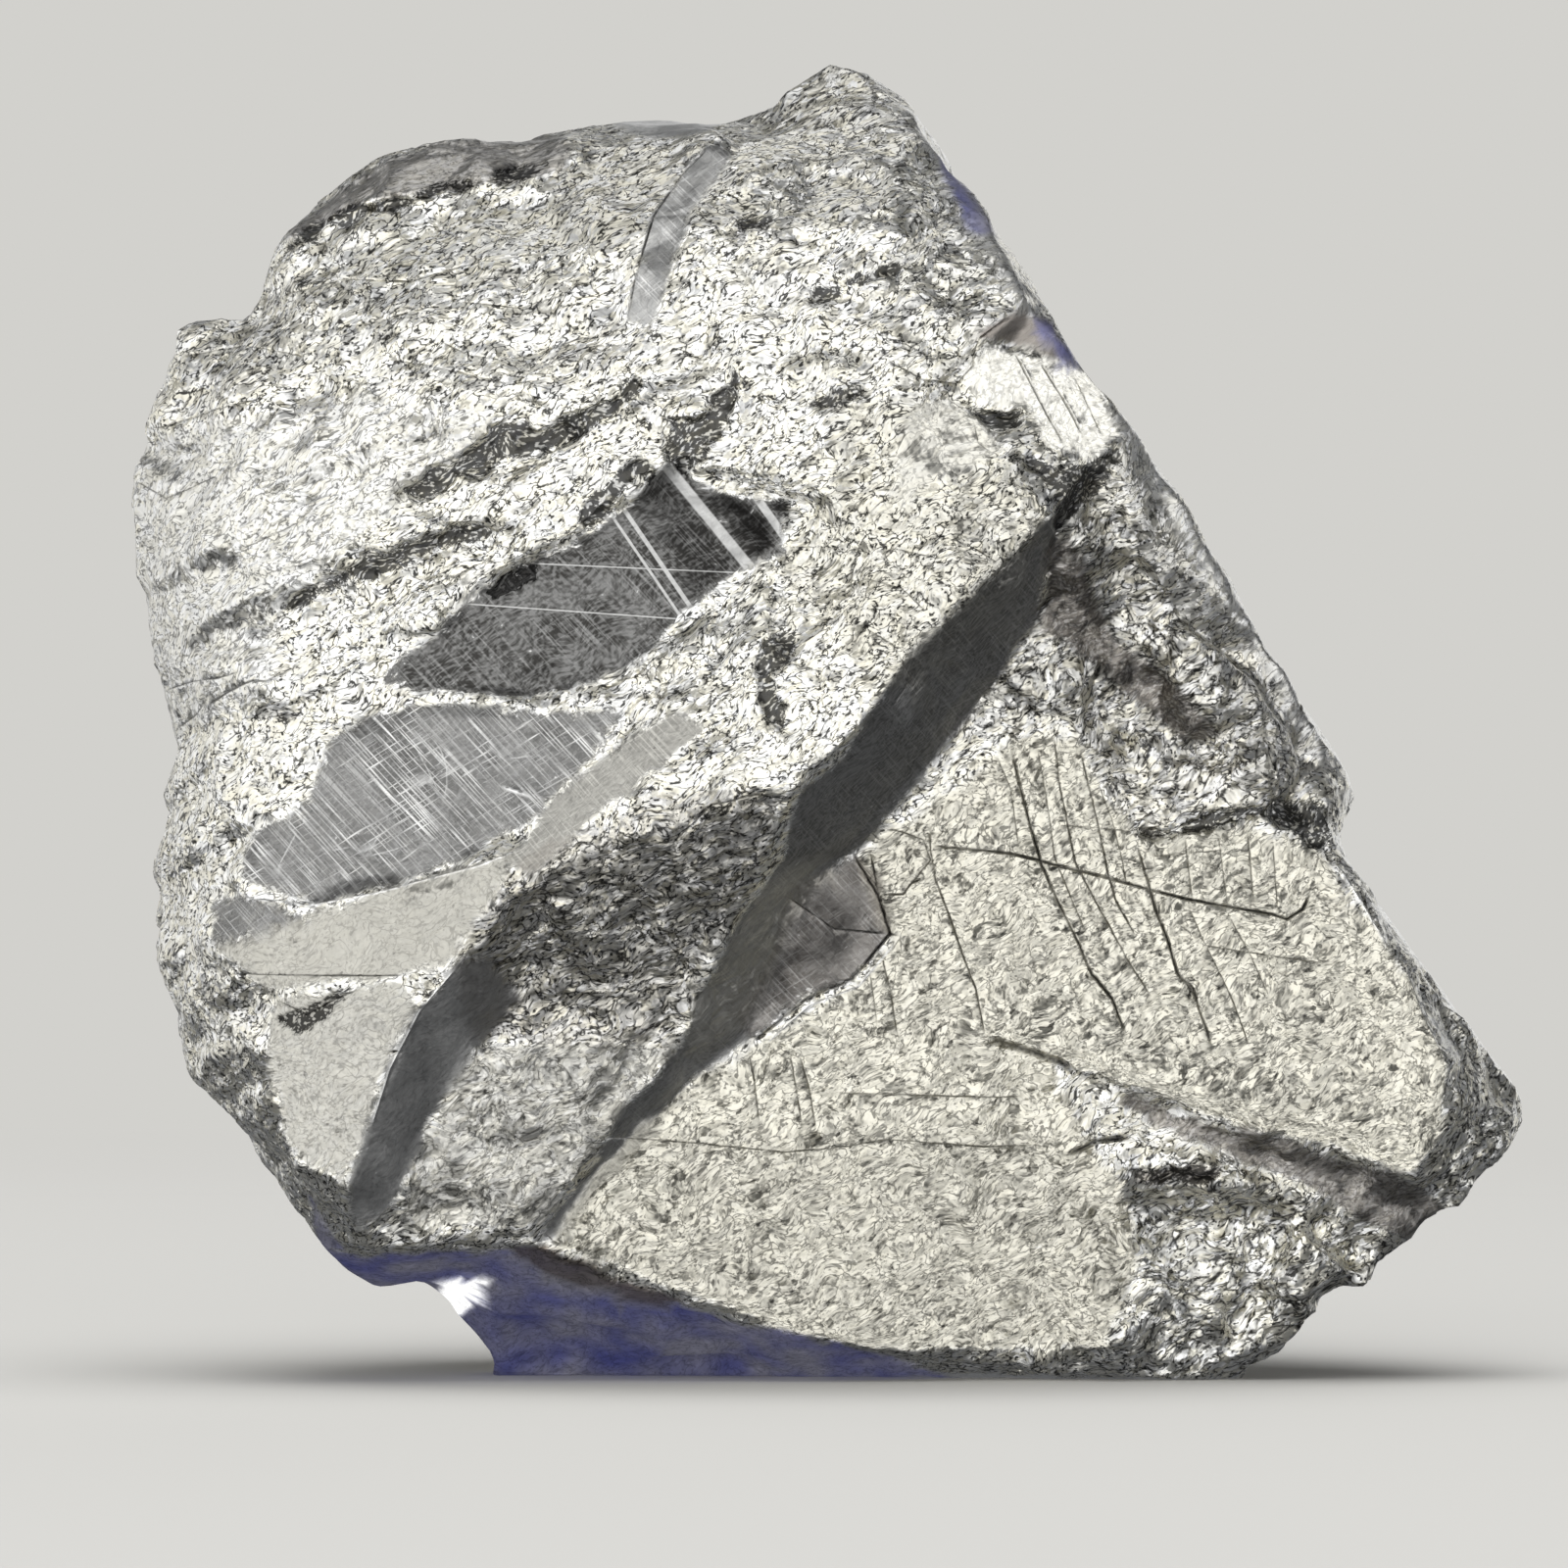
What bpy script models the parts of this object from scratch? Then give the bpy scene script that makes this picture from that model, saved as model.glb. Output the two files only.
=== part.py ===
"""A hand-sized lump of massive pyrite: intergrown crystals broken across, in one solid piece.

It stands on a flat break with its best face to -Y. Metres, +Z up, origin under the middle of the foot.
All lists below are in millimetres. A front point is (x, z, h): h is how far the surface stands
forward of the plane of the outline, towards the viewer.

Run it with: blender --background --python part.py
"""

import math

import bmesh
import bpy
from mathutils import Matrix, Vector, noise
from mathutils.geometry import delaunay_2d_cdt

MM = 0.001

# Driving dimensions of the finished lump.
WIDTH = 70.8 * MM
DEPTH = 42.0 * MM
HEIGHT = 66.7 * MM
FOOT_TRIM = 0.35 * MM  # the lowest grains are broken off flat, which makes the face it stands on

# Sides and back.
SIDE_DEPTHS = (4.0, 9.0, 15.0, 20.5)  # how far behind the outline plane each ring of the side lies
SIDE_INSETS = (0.0, 1.0, 3.6, 8.5)  # how far a rough side has drawn in at each ring
BACK_DEPTH = 24.5
RIGHT_CLEAVAGE = Vector((0.84, 0.54))  # outward direction (x, z) of the flat side, a cleavage plane

# Size of the grain that the solid carries.
GRID = 0.42 * MM  # spacing of the working mesh
LUMP = 4.2 * MM  # size of a broken grain
LUMP_RELIEF = 0.55 * MM
FLANK_RELIEF = 1.2 * MM  # the broken right flank and the lower right corner stand out in coarser lumps
BLOCK = 7.5 * MM  # size of a crystal block on the sides and the back
BLOCK_RELIEF = 1.5 * MM
TERRACE = 5.2 * MM  # spacing of the ledges that climb the upper left
TERRACE_RELIEF = 0.5 * MM
SOLID_TRIANGLES = 9400
CUTTER = 200 * MM  # side of the block that breaks off a flat face

# The outline and the height of its front edge, clockwise from the left corner.
OUTLINE = [
    (-35.5, 47.3, 0.0), (-34.3, 48.9, 1.0), (-33.1, 53.0, 0.5), (-32.2, 53.8, 0.5),
    (-29.8, 54.3, 1.0), (-28.6, 55.7, 1.0), (-28.5, 57.7, 0.5), (-27.7, 59.3, 0.0),
    (-22.8, 62.6, 0.0), (-19.3, 63.8, -0.5), (-15.8, 64.2, -1.0), (-12.3, 65.3, -3.0),
    (-8.8, 65.8, -3.5), (-6.8, 65.5, -2.5), (-4.8, 65.1, -1.0), (-1.8, 66.3, 0.0),
    (0.0, 66.8, 0.5), (1.8, 66.4, 1.5), (3.5, 65.3, 3.0), (4.3, 64.4, 4.5),
    (7.4, 59.5, 7.0), (14.4, 49.0, 8.0), (21.1, 38.5, 4.0), (24.6, 33.2, 1.5),
    (25.9, 31.2, 0.0), (26.1, 29.7, -0.5), (25.4, 27.9, 0.0), (25.7, 26.7, 1.5),
    (30.1, 21.0, 1.0), (34.5, 15.2, -2.5), (35.3, 13.0, -3.5), (35.3, 11.0, -3.5),
    (33.8, 6.5, -3.0), (32.0, 5.4, -2.5), (29.8, 5.6, -2.0), (28.2, 3.2, -2.0),
    (27.1, 1.7, -2.0), (24.5, 0.9, -1.5), (19.3, 0.1, -1.0), (14.0, 0.2, -1.0),
    (8.8, 0.8, -1.0), (3.5, 1.1, -1.5), (1.8, 1.5, -2.0), (-3.3, 0.5, -3.5),
    (-5.3, 1.2, -3.5), (-10.5, 0.6, -4.0), (-14.0, 1.2, -4.0), (-17.5, 1.9, -3.5),
    (-20.0, 4.4, -2.5), (-20.5, 5.3, -1.5), (-22.8, 4.9, -1.5), (-24.5, 5.6, 0.0),
    (-25.8, 7.0, 1.0), (-27.6, 10.5, 1.5), (-29.2, 12.2, 1.5), (-32.1, 15.7, 1.0),
    (-32.9, 17.7, 1.0), (-34.0, 22.5, 1.0), (-34.0, 26.2, 1.0), (-33.5, 30.5, 1.5),
    (-33.1, 32.7, 1.5), (-33.8, 35.0, 1.5), (-34.5, 39.5, 1.0), (-35.1, 44.0, 0.5),
]

# Ridges, steps and the edges of facets. A "rim" is the high side of a step and a "foot" its low side.
FRONT_LINES = {
    "gully_rim": [
        (13.5, 47.0, 9.3), (11.3, 44.1, 11.5), (8.0, 41.4, 12.5), (4.0, 37.5, 13.2), (1.3, 33.7, 13.4),
        (-1.9, 30.7, 13.0), (-3.3, 27.2, 10.6), (-5.3, 23.2, 8.6), (-6.8, 20.0, 7.0), (-7.8, 17.4, 5.8),
        (-10.5, 14.5, 5.6), (-12.3, 11.2, 5.2), (-15.0, 8.5, 4.6),
    ],
    "gully_foot": [
        (12.8, 44.6, 8.0), (10.6, 40.2, 6.3), (8.0, 36.2, 5.4), (5.6, 32.9, 4.9), (3.5, 30.4, 4.6),
        (1.0, 27.4, 4.6), (-1.8, 25.2, 5.0), (-2.8, 22.2, 4.8), (-4.8, 18.2, 4.2), (-7.4, 15.9, 3.4),
        (-10.3, 12.2, 2.9), (-14.0, 8.0, 2.6),
    ],
    "gully_sill": [
        (1.0, 27.4, 4.6), (2.3, 26.2, 4.1), (2.8, 23.2, 3.9), (0.9, 21.0, 3.8), (-4.0, 17.6, 3.5),
        (-7.4, 15.9, 3.4),
    ],
    "shoulder_crest": [
        (-18.3, 21.7, 9.6), (-14.5, 26.0, 11.2), (-10.5, 28.0, 12.2), (-6.0, 29.6, 12.9), (-1.9, 30.7, 13.0),
    ],
    "shoulder_foot": [(-17.0, 18.3, 5.8), (-14.5, 17.9, 6.0), (-10.5, 18.7, 6.2), (-7.8, 17.4, 5.8)],
    "column_rim": [
        (-18.3, 21.7, 9.6), (-20.8, 19.3, 8.8), (-22.2, 16.5, 8.2), (-23.3, 14.0, 7.6), (-24.1, 11.1, 6.8),
        (-23.8, 8.7, 5.2),
    ],
    "column_foot": [
        (-15.5, 20.3, 6.4), (-17.4, 17.2, 5.4), (-19.1, 15.5, 5.0), (-20.3, 13.4, 4.8), (-21.3, 10.7, 4.6),
        (-22.4, 8.7, 4.3),
    ],
    "keel_rim": [
        (-23.8, 7.4, 3.4), (-20.5, 7.4, 3.6), (-15.0, 7.6, 3.6), (-14.0, 8.0, 2.6), (-10.5, 6.2, 2.7),
        (-6.5, 4.9, 2.5), (-1.5, 3.2, 2.1), (2.0, 2.1, 1.4), (5.0, 1.5, 0.5),
    ],
    "lip_rim": [(-27.3, 58.5, 3.2), (-23.2, 60.2, 4.3), (-19.8, 60.6, 4.9), (-15.5, 61.4, 5.1), (-13.1, 62.5, 4.2)],
    "lip_foot": [(-26.9, 57.9, 2.5), (-23.0, 59.4, 3.3), (-19.5, 59.9, 3.8), (-15.1, 60.7, 4.1), (-12.5, 61.9, 3.9)],
    "sliver_left": [(-5.8, 62.5, 6.3), (-8.0, 59.4, 8.0), (-9.4, 56.2, 8.9), (-10.3, 53.2, 9.3)],
    "sliver_right": [(-5.1, 62.0, 7.1), (-6.4, 59.2, 9.2), (-7.8, 56.0, 10.1), (-8.9, 53.2, 10.3)],
    "upper_ledge_rim": [(-21.3, 46.0, 9.0), (-17.5, 47.9, 9.9), (-13.5, 48.7, 10.3), (-10.3, 50.1, 10.7), (-7.3, 51.2, 10.9)],
    "upper_ledge_foot": [(-20.8, 45.3, 8.0), (-17.0, 46.7, 8.5), (-13.0, 47.6, 8.9), (-9.8, 49.0, 9.3), (-6.8, 50.4, 9.8)],
    "middle_ledge_rim": [(-28.0, 39.5, 7.2), (-24.0, 41.5, 8.4), (-20.0, 43.0, 9.2), (-16.3, 43.5, 9.6)],
    "middle_ledge_foot": [(-27.5, 38.7, 6.5), (-23.5, 40.4, 7.5), (-19.5, 41.8, 8.2), (-15.8, 42.7, 9.0)],
    "mirror_rim": [(-22.6, 36.5, 9.0), (-16.5, 41.4, 10.1), (-11.8, 43.9, 10.3), (-7.8, 47.0, 10.8), (-4.5, 46.1, 11.0), (-0.7, 45.5, 11.0)],
    "mirror_top": [(-22.0, 36.0, 8.4), (-16.2, 40.6, 8.9), (-11.4, 43.2, 9.1), (-7.5, 46.1, 9.3), (-4.2, 45.3, 9.3), (-1.2, 44.7, 9.3)],
    "mirror_bottom": [(-22.0, 36.0, 8.4), (-19.7, 35.5, 8.2), (-14.5, 35.3, 8.2), (-11.7, 36.5, 8.3), (-8.5, 38.4, 8.6), (-5.6, 41.0, 8.9), (-2.5, 42.2, 9.1), (-1.2, 44.7, 9.3)],
    "crest_of_ridge": [(7.5, 45.5, 12.3), (2.5, 41.0, 12.4), (-1.0, 36.5, 12.6), (-3.5, 34.5, 12.0)],
    "scratched_rim": [(-26.0, 32.9, 8.1), (-22.5, 34.7, 8.7), (-19.0, 35.0, 8.9), (-14.5, 34.6, 9.2), (-9.5, 34.6, 9.9)],
    "scratched_edge": [
        (-25.3, 32.4, 7.4), (-22.3, 34.1, 7.9), (-19.0, 34.4, 8.2), (-14.5, 34.0, 8.5), (-10.0, 34.0, 8.9),
        (-11.8, 31.0, 9.0), (-15.3, 27.9, 9.0), (-20.5, 26.5, 8.3), (-25.8, 25.1, 7.5), (-29.3, 25.9, 6.6),
        (-27.8, 28.7, 6.9), (-25.3, 32.4, 7.4),
    ],
    "shelf_rim": [
        (-29.4, 23.7, 7.0), (-25.8, 24.5, 8.2), (-20.5, 25.9, 9.3), (-15.3, 27.3, 10.4), (-12.0, 30.2, 11.2),
        (-8.3, 33.2, 11.4), (-6.3, 33.4, 11.5),
    ],
    "shelf_edge": [(-30.0, 21.7, 6.6), (-27.5, 20.5, 7.4), (-22.5, 21.0, 8.8), (-18.3, 21.7, 9.6)],
    "flank_valley": [(11.8, 43.2, 7.4), (13.1, 39.0, 5.8), (15.0, 36.0, 5.0), (17.8, 33.6, 4.5)],
    "flank_rim": [(12.5, 32.7, 6.0), (16.5, 31.0, 5.8), (20.5, 30.7, 4.9), (24.2, 29.9, 3.0)],
    "flank_foot": [(12.8, 31.0, 5.2), (15.9, 28.4, 4.7), (20.8, 29.4, 4.0), (24.7, 27.4, 2.6)],
    "pale_face_edge": [(26.0, 25.2, 3.1), (28.7, 21.0, 2.9), (30.3, 17.5, 2.7), (30.4, 15.0, 2.6), (29.5, 12.1, 2.5)],
    "tip_foot": [(30.6, 18.6, 1.0), (31.7, 16.5, 0.6), (31.8, 13.8, 0.2), (30.7, 11.2, 0.1)],
    "step_rim": [
        (7.5, 18.0, 4.1), (11.0, 17.4, 4.3), (15.0, 16.2, 4.5), (19.5, 14.5, 4.4), (24.0, 13.4, 4.0), (29.5, 12.1, 3.0),
    ],
    "step_foot": [
        (9.5, 16.9, 3.2), (13.0, 15.6, 2.4), (17.5, 13.7, 1.8), (22.0, 11.9, 1.1), (26.0, 10.3, 0.3), (29.0, 9.2, -0.8),
    ],
    "notch_rim": [(14.0, 10.7, 2.7), (17.3, 11.3, 2.9), (19.3, 10.6, 2.6)],
    "notch_foot": [(14.3, 9.8, 1.8), (17.0, 9.9, 1.8), (19.0, 9.8, 1.9)],
    "corner_rim": [(5.3, 51.2, 10.9), (7.5, 53.3, 10.4), (9.5, 55.1, 9.8), (10.4, 53.9, 9.0)],
    "corner_foot": [(6.1, 50.6, 9.7), (7.8, 52.4, 9.3), (10.5, 51.9, 8.8), (12.3, 51.2, 8.5)],
}

# Single summits and hollows between those lines.
FRONT_POINTS = [
    (-31.0, 49.5, 4.2), (-27.5, 53.4, 5.0), (-21.5, 56.4, 6.2), (-14.5, 57.4, 7.4), (-11.5, 59.4, 7.5),
    (-14.5, 53.4, 8.6), (-21.0, 51.4, 8.0), (-27.5, 47.4, 6.6), (-31.5, 42.4, 5.2), (-26.0, 42.4, 7.8),
    (-10.0, 63.4, 2.0), (-22.3, 61.4, 3.4), (-17.5, 62.4, 3.6), (-31.0, 37.0, 5.4), (-27.5, 34.8, 7.4),
    (-30.5, 31.0, 5.6), (-31.5, 26.5, 4.6), (-31.0, 19.6, 4.6), (-27.5, 17.0, 7.0), (-28.5, 14.5, 4.8),
    (-26.5, 11.4, 5.2), (-19.0, 40.2, 9.5), (-12.0, 45.5, 10.3), (0.0, 62.5, 5.5), (-2.0, 58.0, 9.4),
    (3.0, 60.0, 8.6), (2.0, 54.5, 10.8), (-3.5, 53.0, 10.6), (-2.5, 48.5, 11.2), (3.0, 47.5, 11.8),
    (10.0, 48.5, 10.2), (-4.5, 38.2, 11.2), (-8.0, 36.0, 10.4), (-10.0, 30.8, 12.2), (-6.0, 32.0, 12.8),
    (-12.0, 23.0, 8.8), (-8.0, 24.0, 9.4), (-17.0, 12.5, 4.9), (-12.5, 15.5, 5.9), (15.5, 41.5, 7.6),
    (17.5, 38.5, 6.9), (19.2, 35.5, 5.6), (22.0, 32.5, 3.8), (10.2, 36.8, 6.6), (12.0, 34.5, 6.4),
    (7.5, 33.2, 5.2), (6.5, 24.0, 4.6), (14.0, 23.5, 4.8), (22.0, 22.0, 4.2), (0.0, 13.0, 3.9),
    (-6.0, 9.5, 3.3), (6.0, 8.0, 3.2), (12.0, 10.5, 3.0), (22.5, 9.0, 2.2), (16.5, 5.5, 2.4), (22.5, 6.0, 1.6),
    (26.5, 5.5, 0.6), (20.0, 2.6, 0.8), (33.0, 10.4, -1.6), (31.5, 8.0, -1.0), (15.0, 2.8, 1.4),
]

# Large flat fractures that truncate the sides and the back: outward direction (x, y, z) and
# distance in mm from the middle of the lump.
MIDDLE = Vector((0.0, 4.0, 31.0))
CHOPS = [
    ((-0.72, 0.55, 0.42), 30.5), ((-0.25, 0.62, 0.74), 33.0), ((0.38, 0.80, 0.46), 24.5),
    ((-0.60, 0.78, -0.18), 26.5), ((0.10, 0.97, -0.20), 20.0), ((0.72, 0.66, -0.20), 29.0),
    ((-0.68, 0.20, -0.70), 35.0), ((-0.10, 0.94, 0.32), 20.5), ((0.62, 0.34, -0.70), 34.0),
]

# Flat crystal faces and cleavages on the front, as outlines (x, z). They stay smooth.
SMOOTH_FACES = {
    "pale_face": [
        (7.5, 33.0), (12.0, 33.0), (13.5, 29.5), (24.0, 27.5), (30.0, 17.5), (29.0, 12.5), (19.0, 15.0),
        (8.0, 18.5), (9.0, 14.0), (13.0, 6.5), (12.0, 2.0), (1.5, 2.5), (-7.0, 5.5), (-13.5, 8.0),
        (-7.0, 16.0), (1.5, 21.0), (2.0, 27.5),
    ],
    "gully_wall": [
        (11.3, 44.1), (4.0, 37.5), (1.3, 33.7), (-1.9, 30.7), (-6.8, 20.0), (-7.8, 17.0), (-4.5, 18.0),
        (-1.8, 25.2), (3.5, 30.4), (10.6, 40.2),
    ],
    "mirror": [(-22.0, 36.0), (-11.4, 43.2), (-7.5, 46.1), (-1.2, 44.7), (-5.6, 41.0), (-11.7, 36.5), (-19.7, 35.5)],
    "scratched": [(-25.3, 32.4), (-19.0, 34.4), (-10.0, 34.0), (-15.3, 27.9), (-25.8, 25.1), (-29.3, 25.9)],
    "shelf": [(-29.0, 22.5), (-15.3, 27.3), (-8.3, 33.2), (-10.5, 30.0), (-18.3, 22.0), (-27.5, 20.7)],
    "column_wall": [(-18.3, 21.7), (-22.2, 16.5), (-24.1, 11.1), (-22.4, 8.7), (-19.1, 15.5), (-15.5, 20.3)],
    "keel": [(-23.8, 7.4), (-15.0, 7.6), (-1.5, 3.2), (5.0, 1.5), (-3.3, 0.5), (-17.5, 1.9)],
    "corner_tile": [(6.1, 50.6), (7.8, 52.4), (12.3, 51.2), (13.6, 48.5), (12.5, 47.0), (8.5, 49.6)],
}
COARSE_BREAKS = {
    "flank": [(13.4, 44.4), (21.1, 38.5), (25.5, 31.0), (23.6, 28.5), (20.8, 29.6), (15.9, 29.0), (11.0, 33.4)],
    "corner": [(14.5, 10.0), (22.0, 10.5), (29.0, 8.0), (32.0, 6.0), (28.0, 2.5), (20.0, 1.0), (14.8, 2.0)],
}
FOOT_ROUGHNESS = 0.06  # share of the full grain on the break underneath
CLEAVAGE_ROUGHNESS = 0.25  # and on the flat side
SMOOTH_FADE = 1.6  # mm over which a smooth face takes on the grain of the break beside it
SMOOTH_FRONT = 1.5  # mm behind the outline plane up to which the smooth faces reach
SEED_SHIFT = Vector((3.1, 7.7, 1.9))


def clear_scene():
    for obj in list(bpy.data.objects):
        bpy.data.objects.remove(obj)


def new_object(name, bm, collection):
    mesh = bpy.data.meshes.new(name)
    bm.to_mesh(mesh)
    bm.free()
    obj = bpy.data.objects.new(name, mesh)
    collection.objects.link(obj)
    return obj


def as_mesh(obj):
    """Applies the object's modifiers, so that its vertices can be moved by hand."""
    graph = bpy.context.evaluated_depsgraph_get()
    mesh = bpy.data.meshes.new_from_object(obj.evaluated_get(graph))
    obj.modifiers.clear()
    obj.data = mesh
    return mesh


def triangulated(ring, lines, points):
    """Joins an outline, the lines inside it and single points into one sheet of triangles (x, z, h)."""
    places, edges = [], []
    for line in [ring + ring[:1], *lines]:
        for start, end in zip(line, line[1:]):
            edges.append((len(places), len(places) + 1))
            places += [start, end]
    places += points
    flat = [Vector(p[:2]) for p in places]
    weld = 0.02
    inside_only = 1
    spots, _, faces, sources, _, _ = delaunay_2d_cdt(flat, edges, [], inside_only, weld)
    heights = []
    for spot, source in zip(spots, sources):
        if source:
            heights.append(places[source[0]][2])
        else:
            near = sorted(places, key=lambda p: (Vector(p[:2]) - spot).length)[:2]
            heights.append((near[0][2] + near[1][2]) / 2)
    return [Vector((s.x, s.y, h)) for s, h in zip(spots, heights)], faces


def outward_directions(ring):
    """Direction in which the outline faces at each of its points, which run clockwise."""
    found = []
    for index in range(len(ring)):
        before = Vector(ring[index - 1][:2])
        after = Vector(ring[(index + 1) % len(ring)][:2])
        along = (after - before).normalized()
        found.append(Vector((-along.y, along.x)))
    return found


def side_ring(depth, inset):
    """The outline carried back to a depth, drawn in except on the cleaved side and at the foot."""
    ring = []
    for (x, z, _), out in zip(OUTLINE, outward_directions(OUTLINE)):
        cleaved = max(0.0, out.dot(RIGHT_CLEAVAGE.normalized())) ** 6
        foot = max(0.0, -out.y) ** 4 if z < 6.0 else 0.0
        amount = inset * (1.0 - 0.92 * max(cleaved, foot))
        drop = z * min(1.0, depth / SIDE_DEPTHS[0]) if foot > 0.3 and z < 3.0 else 0.0
        ring.append((x - out.x * amount, z - out.y * amount - drop, -depth))
    return ring


def point_3d(front_point):
    x, z, height = front_point
    return Vector((x, -height, z)) * MM


def rough_block(collection):
    """The lump as flat facets between its ridges, before it has any grain."""
    bm = bmesh.new()
    spots, faces = triangulated(OUTLINE, list(FRONT_LINES.values()), FRONT_POINTS)
    front = [bm.verts.new(point_3d(spot)) for spot in spots]
    for face in faces:
        bm.faces.new([front[i] for i in face])
    rings = [[bm.verts.new(point_3d(p)) for p in OUTLINE]]
    for depth, inset in zip(SIDE_DEPTHS, SIDE_INSETS):
        rings.append([bm.verts.new(point_3d(p)) for p in side_ring(depth, inset)])
    for near, far in zip(rings, rings[1:]):
        for i in range(len(near)):
            j = (i + 1) % len(near)
            bm.faces.new([near[i], near[j], far[j], far[i]])
    hub = bm.verts.new(Vector((MIDDLE.x, BACK_DEPTH, MIDDLE.z)) * MM)
    for i in range(len(rings[-1])):
        bm.faces.new([rings[-1][i], rings[-1][(i + 1) % len(rings[-1])], hub])
    bmesh.ops.remove_doubles(bm, verts=bm.verts, dist=0.03 * MM)
    bmesh.ops.recalc_face_normals(bm, faces=bm.faces)
    return new_object("pyrite", bm, collection)


def break_off(obj, name, place, outward, cutters):
    """Breaks the lump off flat along the plane through a place, dropping what lies outward of it."""
    bm = bmesh.new()
    bmesh.ops.create_cube(bm, size=CUTTER)
    turn = outward.normalized().to_track_quat("Z", "Y").to_matrix().to_4x4()
    shift = Matrix.Translation(place + outward.normalized() * CUTTER / 2)
    bmesh.ops.transform(bm, matrix=shift @ turn, verts=bm.verts)
    cutter = new_object(name, bm, cutters)
    cutter.hide_render = True
    cutter.display_type = "WIRE"
    cut = obj.modifiers.new(name, "BOOLEAN")
    cut.operation = "DIFFERENCE"
    cut.solver = "EXACT"
    cut.use_self = True
    cut.object = cutter
    as_mesh(obj)


def chop_all(obj, cutters):
    for index, (direction, distance) in enumerate(CHOPS):
        outward = Vector(direction).normalized()
        break_off(obj, f"fracture plane {index + 1}", (MIDDLE + outward * distance) * MM, outward, cutters)


def distance_to_edge(spot, outline):
    """Distance from a point (x, z) to an outline, positive inside it."""
    inside = False
    nearest = math.inf
    for start, end in zip(outline, outline[1:] + outline[:1]):
        a, b = Vector(start), Vector(end)
        if (a.y > spot.y) != (b.y > spot.y):
            if spot.x < (b.x - a.x) * (spot.y - a.y) / (b.y - a.y) + a.x:
                inside = not inside
        along = b - a
        share = min(1.0, max(0.0, (spot - a).dot(along) / along.length_squared))
        nearest = min(nearest, (spot - a - along * share).length)
    return nearest if inside else -nearest


def roughness_at(place, normal):
    """0 on a smooth crystal face, 1 on broken grain."""
    spot = Vector((place.x, place.z)) / MM
    if place.y / MM < SMOOTH_FRONT and normal.y < 0.35:
        reach = max(distance_to_edge(spot, outline) for outline in SMOOTH_FACES.values())
        return min(1.0, max(0.0, 0.5 - reach / SMOOTH_FADE))
    facing = Vector((normal.x, normal.z)).dot(RIGHT_CLEAVAGE.normalized())
    if normal.z < -0.8 and spot.y < 5.0:
        return FOOT_ROUGHNESS
    return CLEAVAGE_ROUGHNESS if facing > 0.93 else 1.0


def lumps(place):
    """Broken grains: each has its own flat top, with a notch where two meet."""
    distances, centres = noise.voronoi(place / LUMP + SEED_SHIFT)
    tilt = noise.cell(centres[0] * 5.0) - 0.5
    return (0.55 * tilt + min(0.6, distances[1] - distances[0]) - 0.3) * LUMP_RELIEF


def coarse_lumps(place):
    """The coarser lumps of the two most broken patches of the front."""
    spot = Vector((place.x, place.z)) / MM
    if place.y / MM > 0.0:
        return 0.0
    reach = max(distance_to_edge(spot, outline) for outline in COARSE_BREAKS.values())
    _, centres = noise.voronoi(place / (3.3 * MM) + SEED_SHIFT)
    return min(1.0, max(0.0, reach / 1.5)) * (noise.cell(centres[0] * 7.0) - 0.5) * FLANK_RELIEF


def blocks(place):
    """Crystal blocks, each standing a little forward or back of its neighbours."""
    spot = place / BLOCK
    bend = Vector([noise.noise(spot + SEED_SHIFT * (axis + 2)) for axis in range(3)])
    _, centres = noise.voronoi(spot + bend * 0.25 + SEED_SHIFT)
    return (noise.cell(centres[0] * 9.0) - 0.5) * BLOCK_RELIEF


def terraces(place):
    """Ledges that climb towards the upper right, each with a slow rise and a sudden drop."""
    wander = noise.noise(place / (9.0 * MM)) * 0.9
    phase = (0.36 * place.x - 0.93 * place.z) / TERRACE + wander
    return (phase % 1.0 - 0.5) * TERRACE_RELIEF


def grain(place, normal):
    """How far the surface moves along its normal to carry its broken grain."""
    rough = roughness_at(place, normal)
    back = min(1.0, max(0.0, place.y / MM / 6.0))
    upper_left = min(1.0, max(0.0, (place.z / MM - 0.9 * place.x / MM - 42.0) / 8.0)) * (1.0 - back)
    fine = noise.fractal(place / (2.6 * MM), 0.6, 2.1, 3) * 0.16 * MM
    relief = lumps(place) + coarse_lumps(place) + fine
    return rough * (relief + upper_left * terraces(place) + back * blocks(place))


def add_grain(obj):
    mesh = obj.data
    moves = [grain(v.co, v.normal) for v in mesh.vertices]
    normals = [v.normal.copy() for v in mesh.vertices]
    for vertex, normal, move in zip(mesh.vertices, normals, moves):
        vertex.co += normal * move
    mesh.update()


def even_mesh(obj):
    """Covers the lump with an even mesh, which also closes up any grains pushed into each other."""
    remesh = obj.modifiers.new("even mesh", "REMESH")
    remesh.mode = "VOXEL"
    remesh.voxel_size = GRID
    as_mesh(obj)


def keep_largest(obj):
    """Drops specks and sealed hollows, so that one closed skin is left."""
    bm = bmesh.new()
    bm.from_mesh(obj.data)
    left = set(bm.verts)
    skins = []
    while left:
        skin, edge = set(), [next(iter(left))]
        while edge:
            vertex = edge.pop()
            if vertex in skin:
                continue
            skin.add(vertex)
            edge += [e.other_vert(vertex) for e in vertex.link_edges]
        left -= skin
        skins.append(skin)
    largest = max(skins, key=len)
    bmesh.ops.delete(bm, geom=[v for v in bm.verts if v not in largest], context="VERTS")
    bm.to_mesh(obj.data)
    bm.free()


def thin(obj):
    """Merges the even mesh into larger flat facets, small ones staying where the surface turns."""
    fewer = obj.modifiers.new("larger facets", "DECIMATE")
    fewer.ratio = SOLID_TRIANGLES / sum(len(p.vertices) - 2 for p in obj.data.polygons)
    as_mesh(obj)


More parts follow.
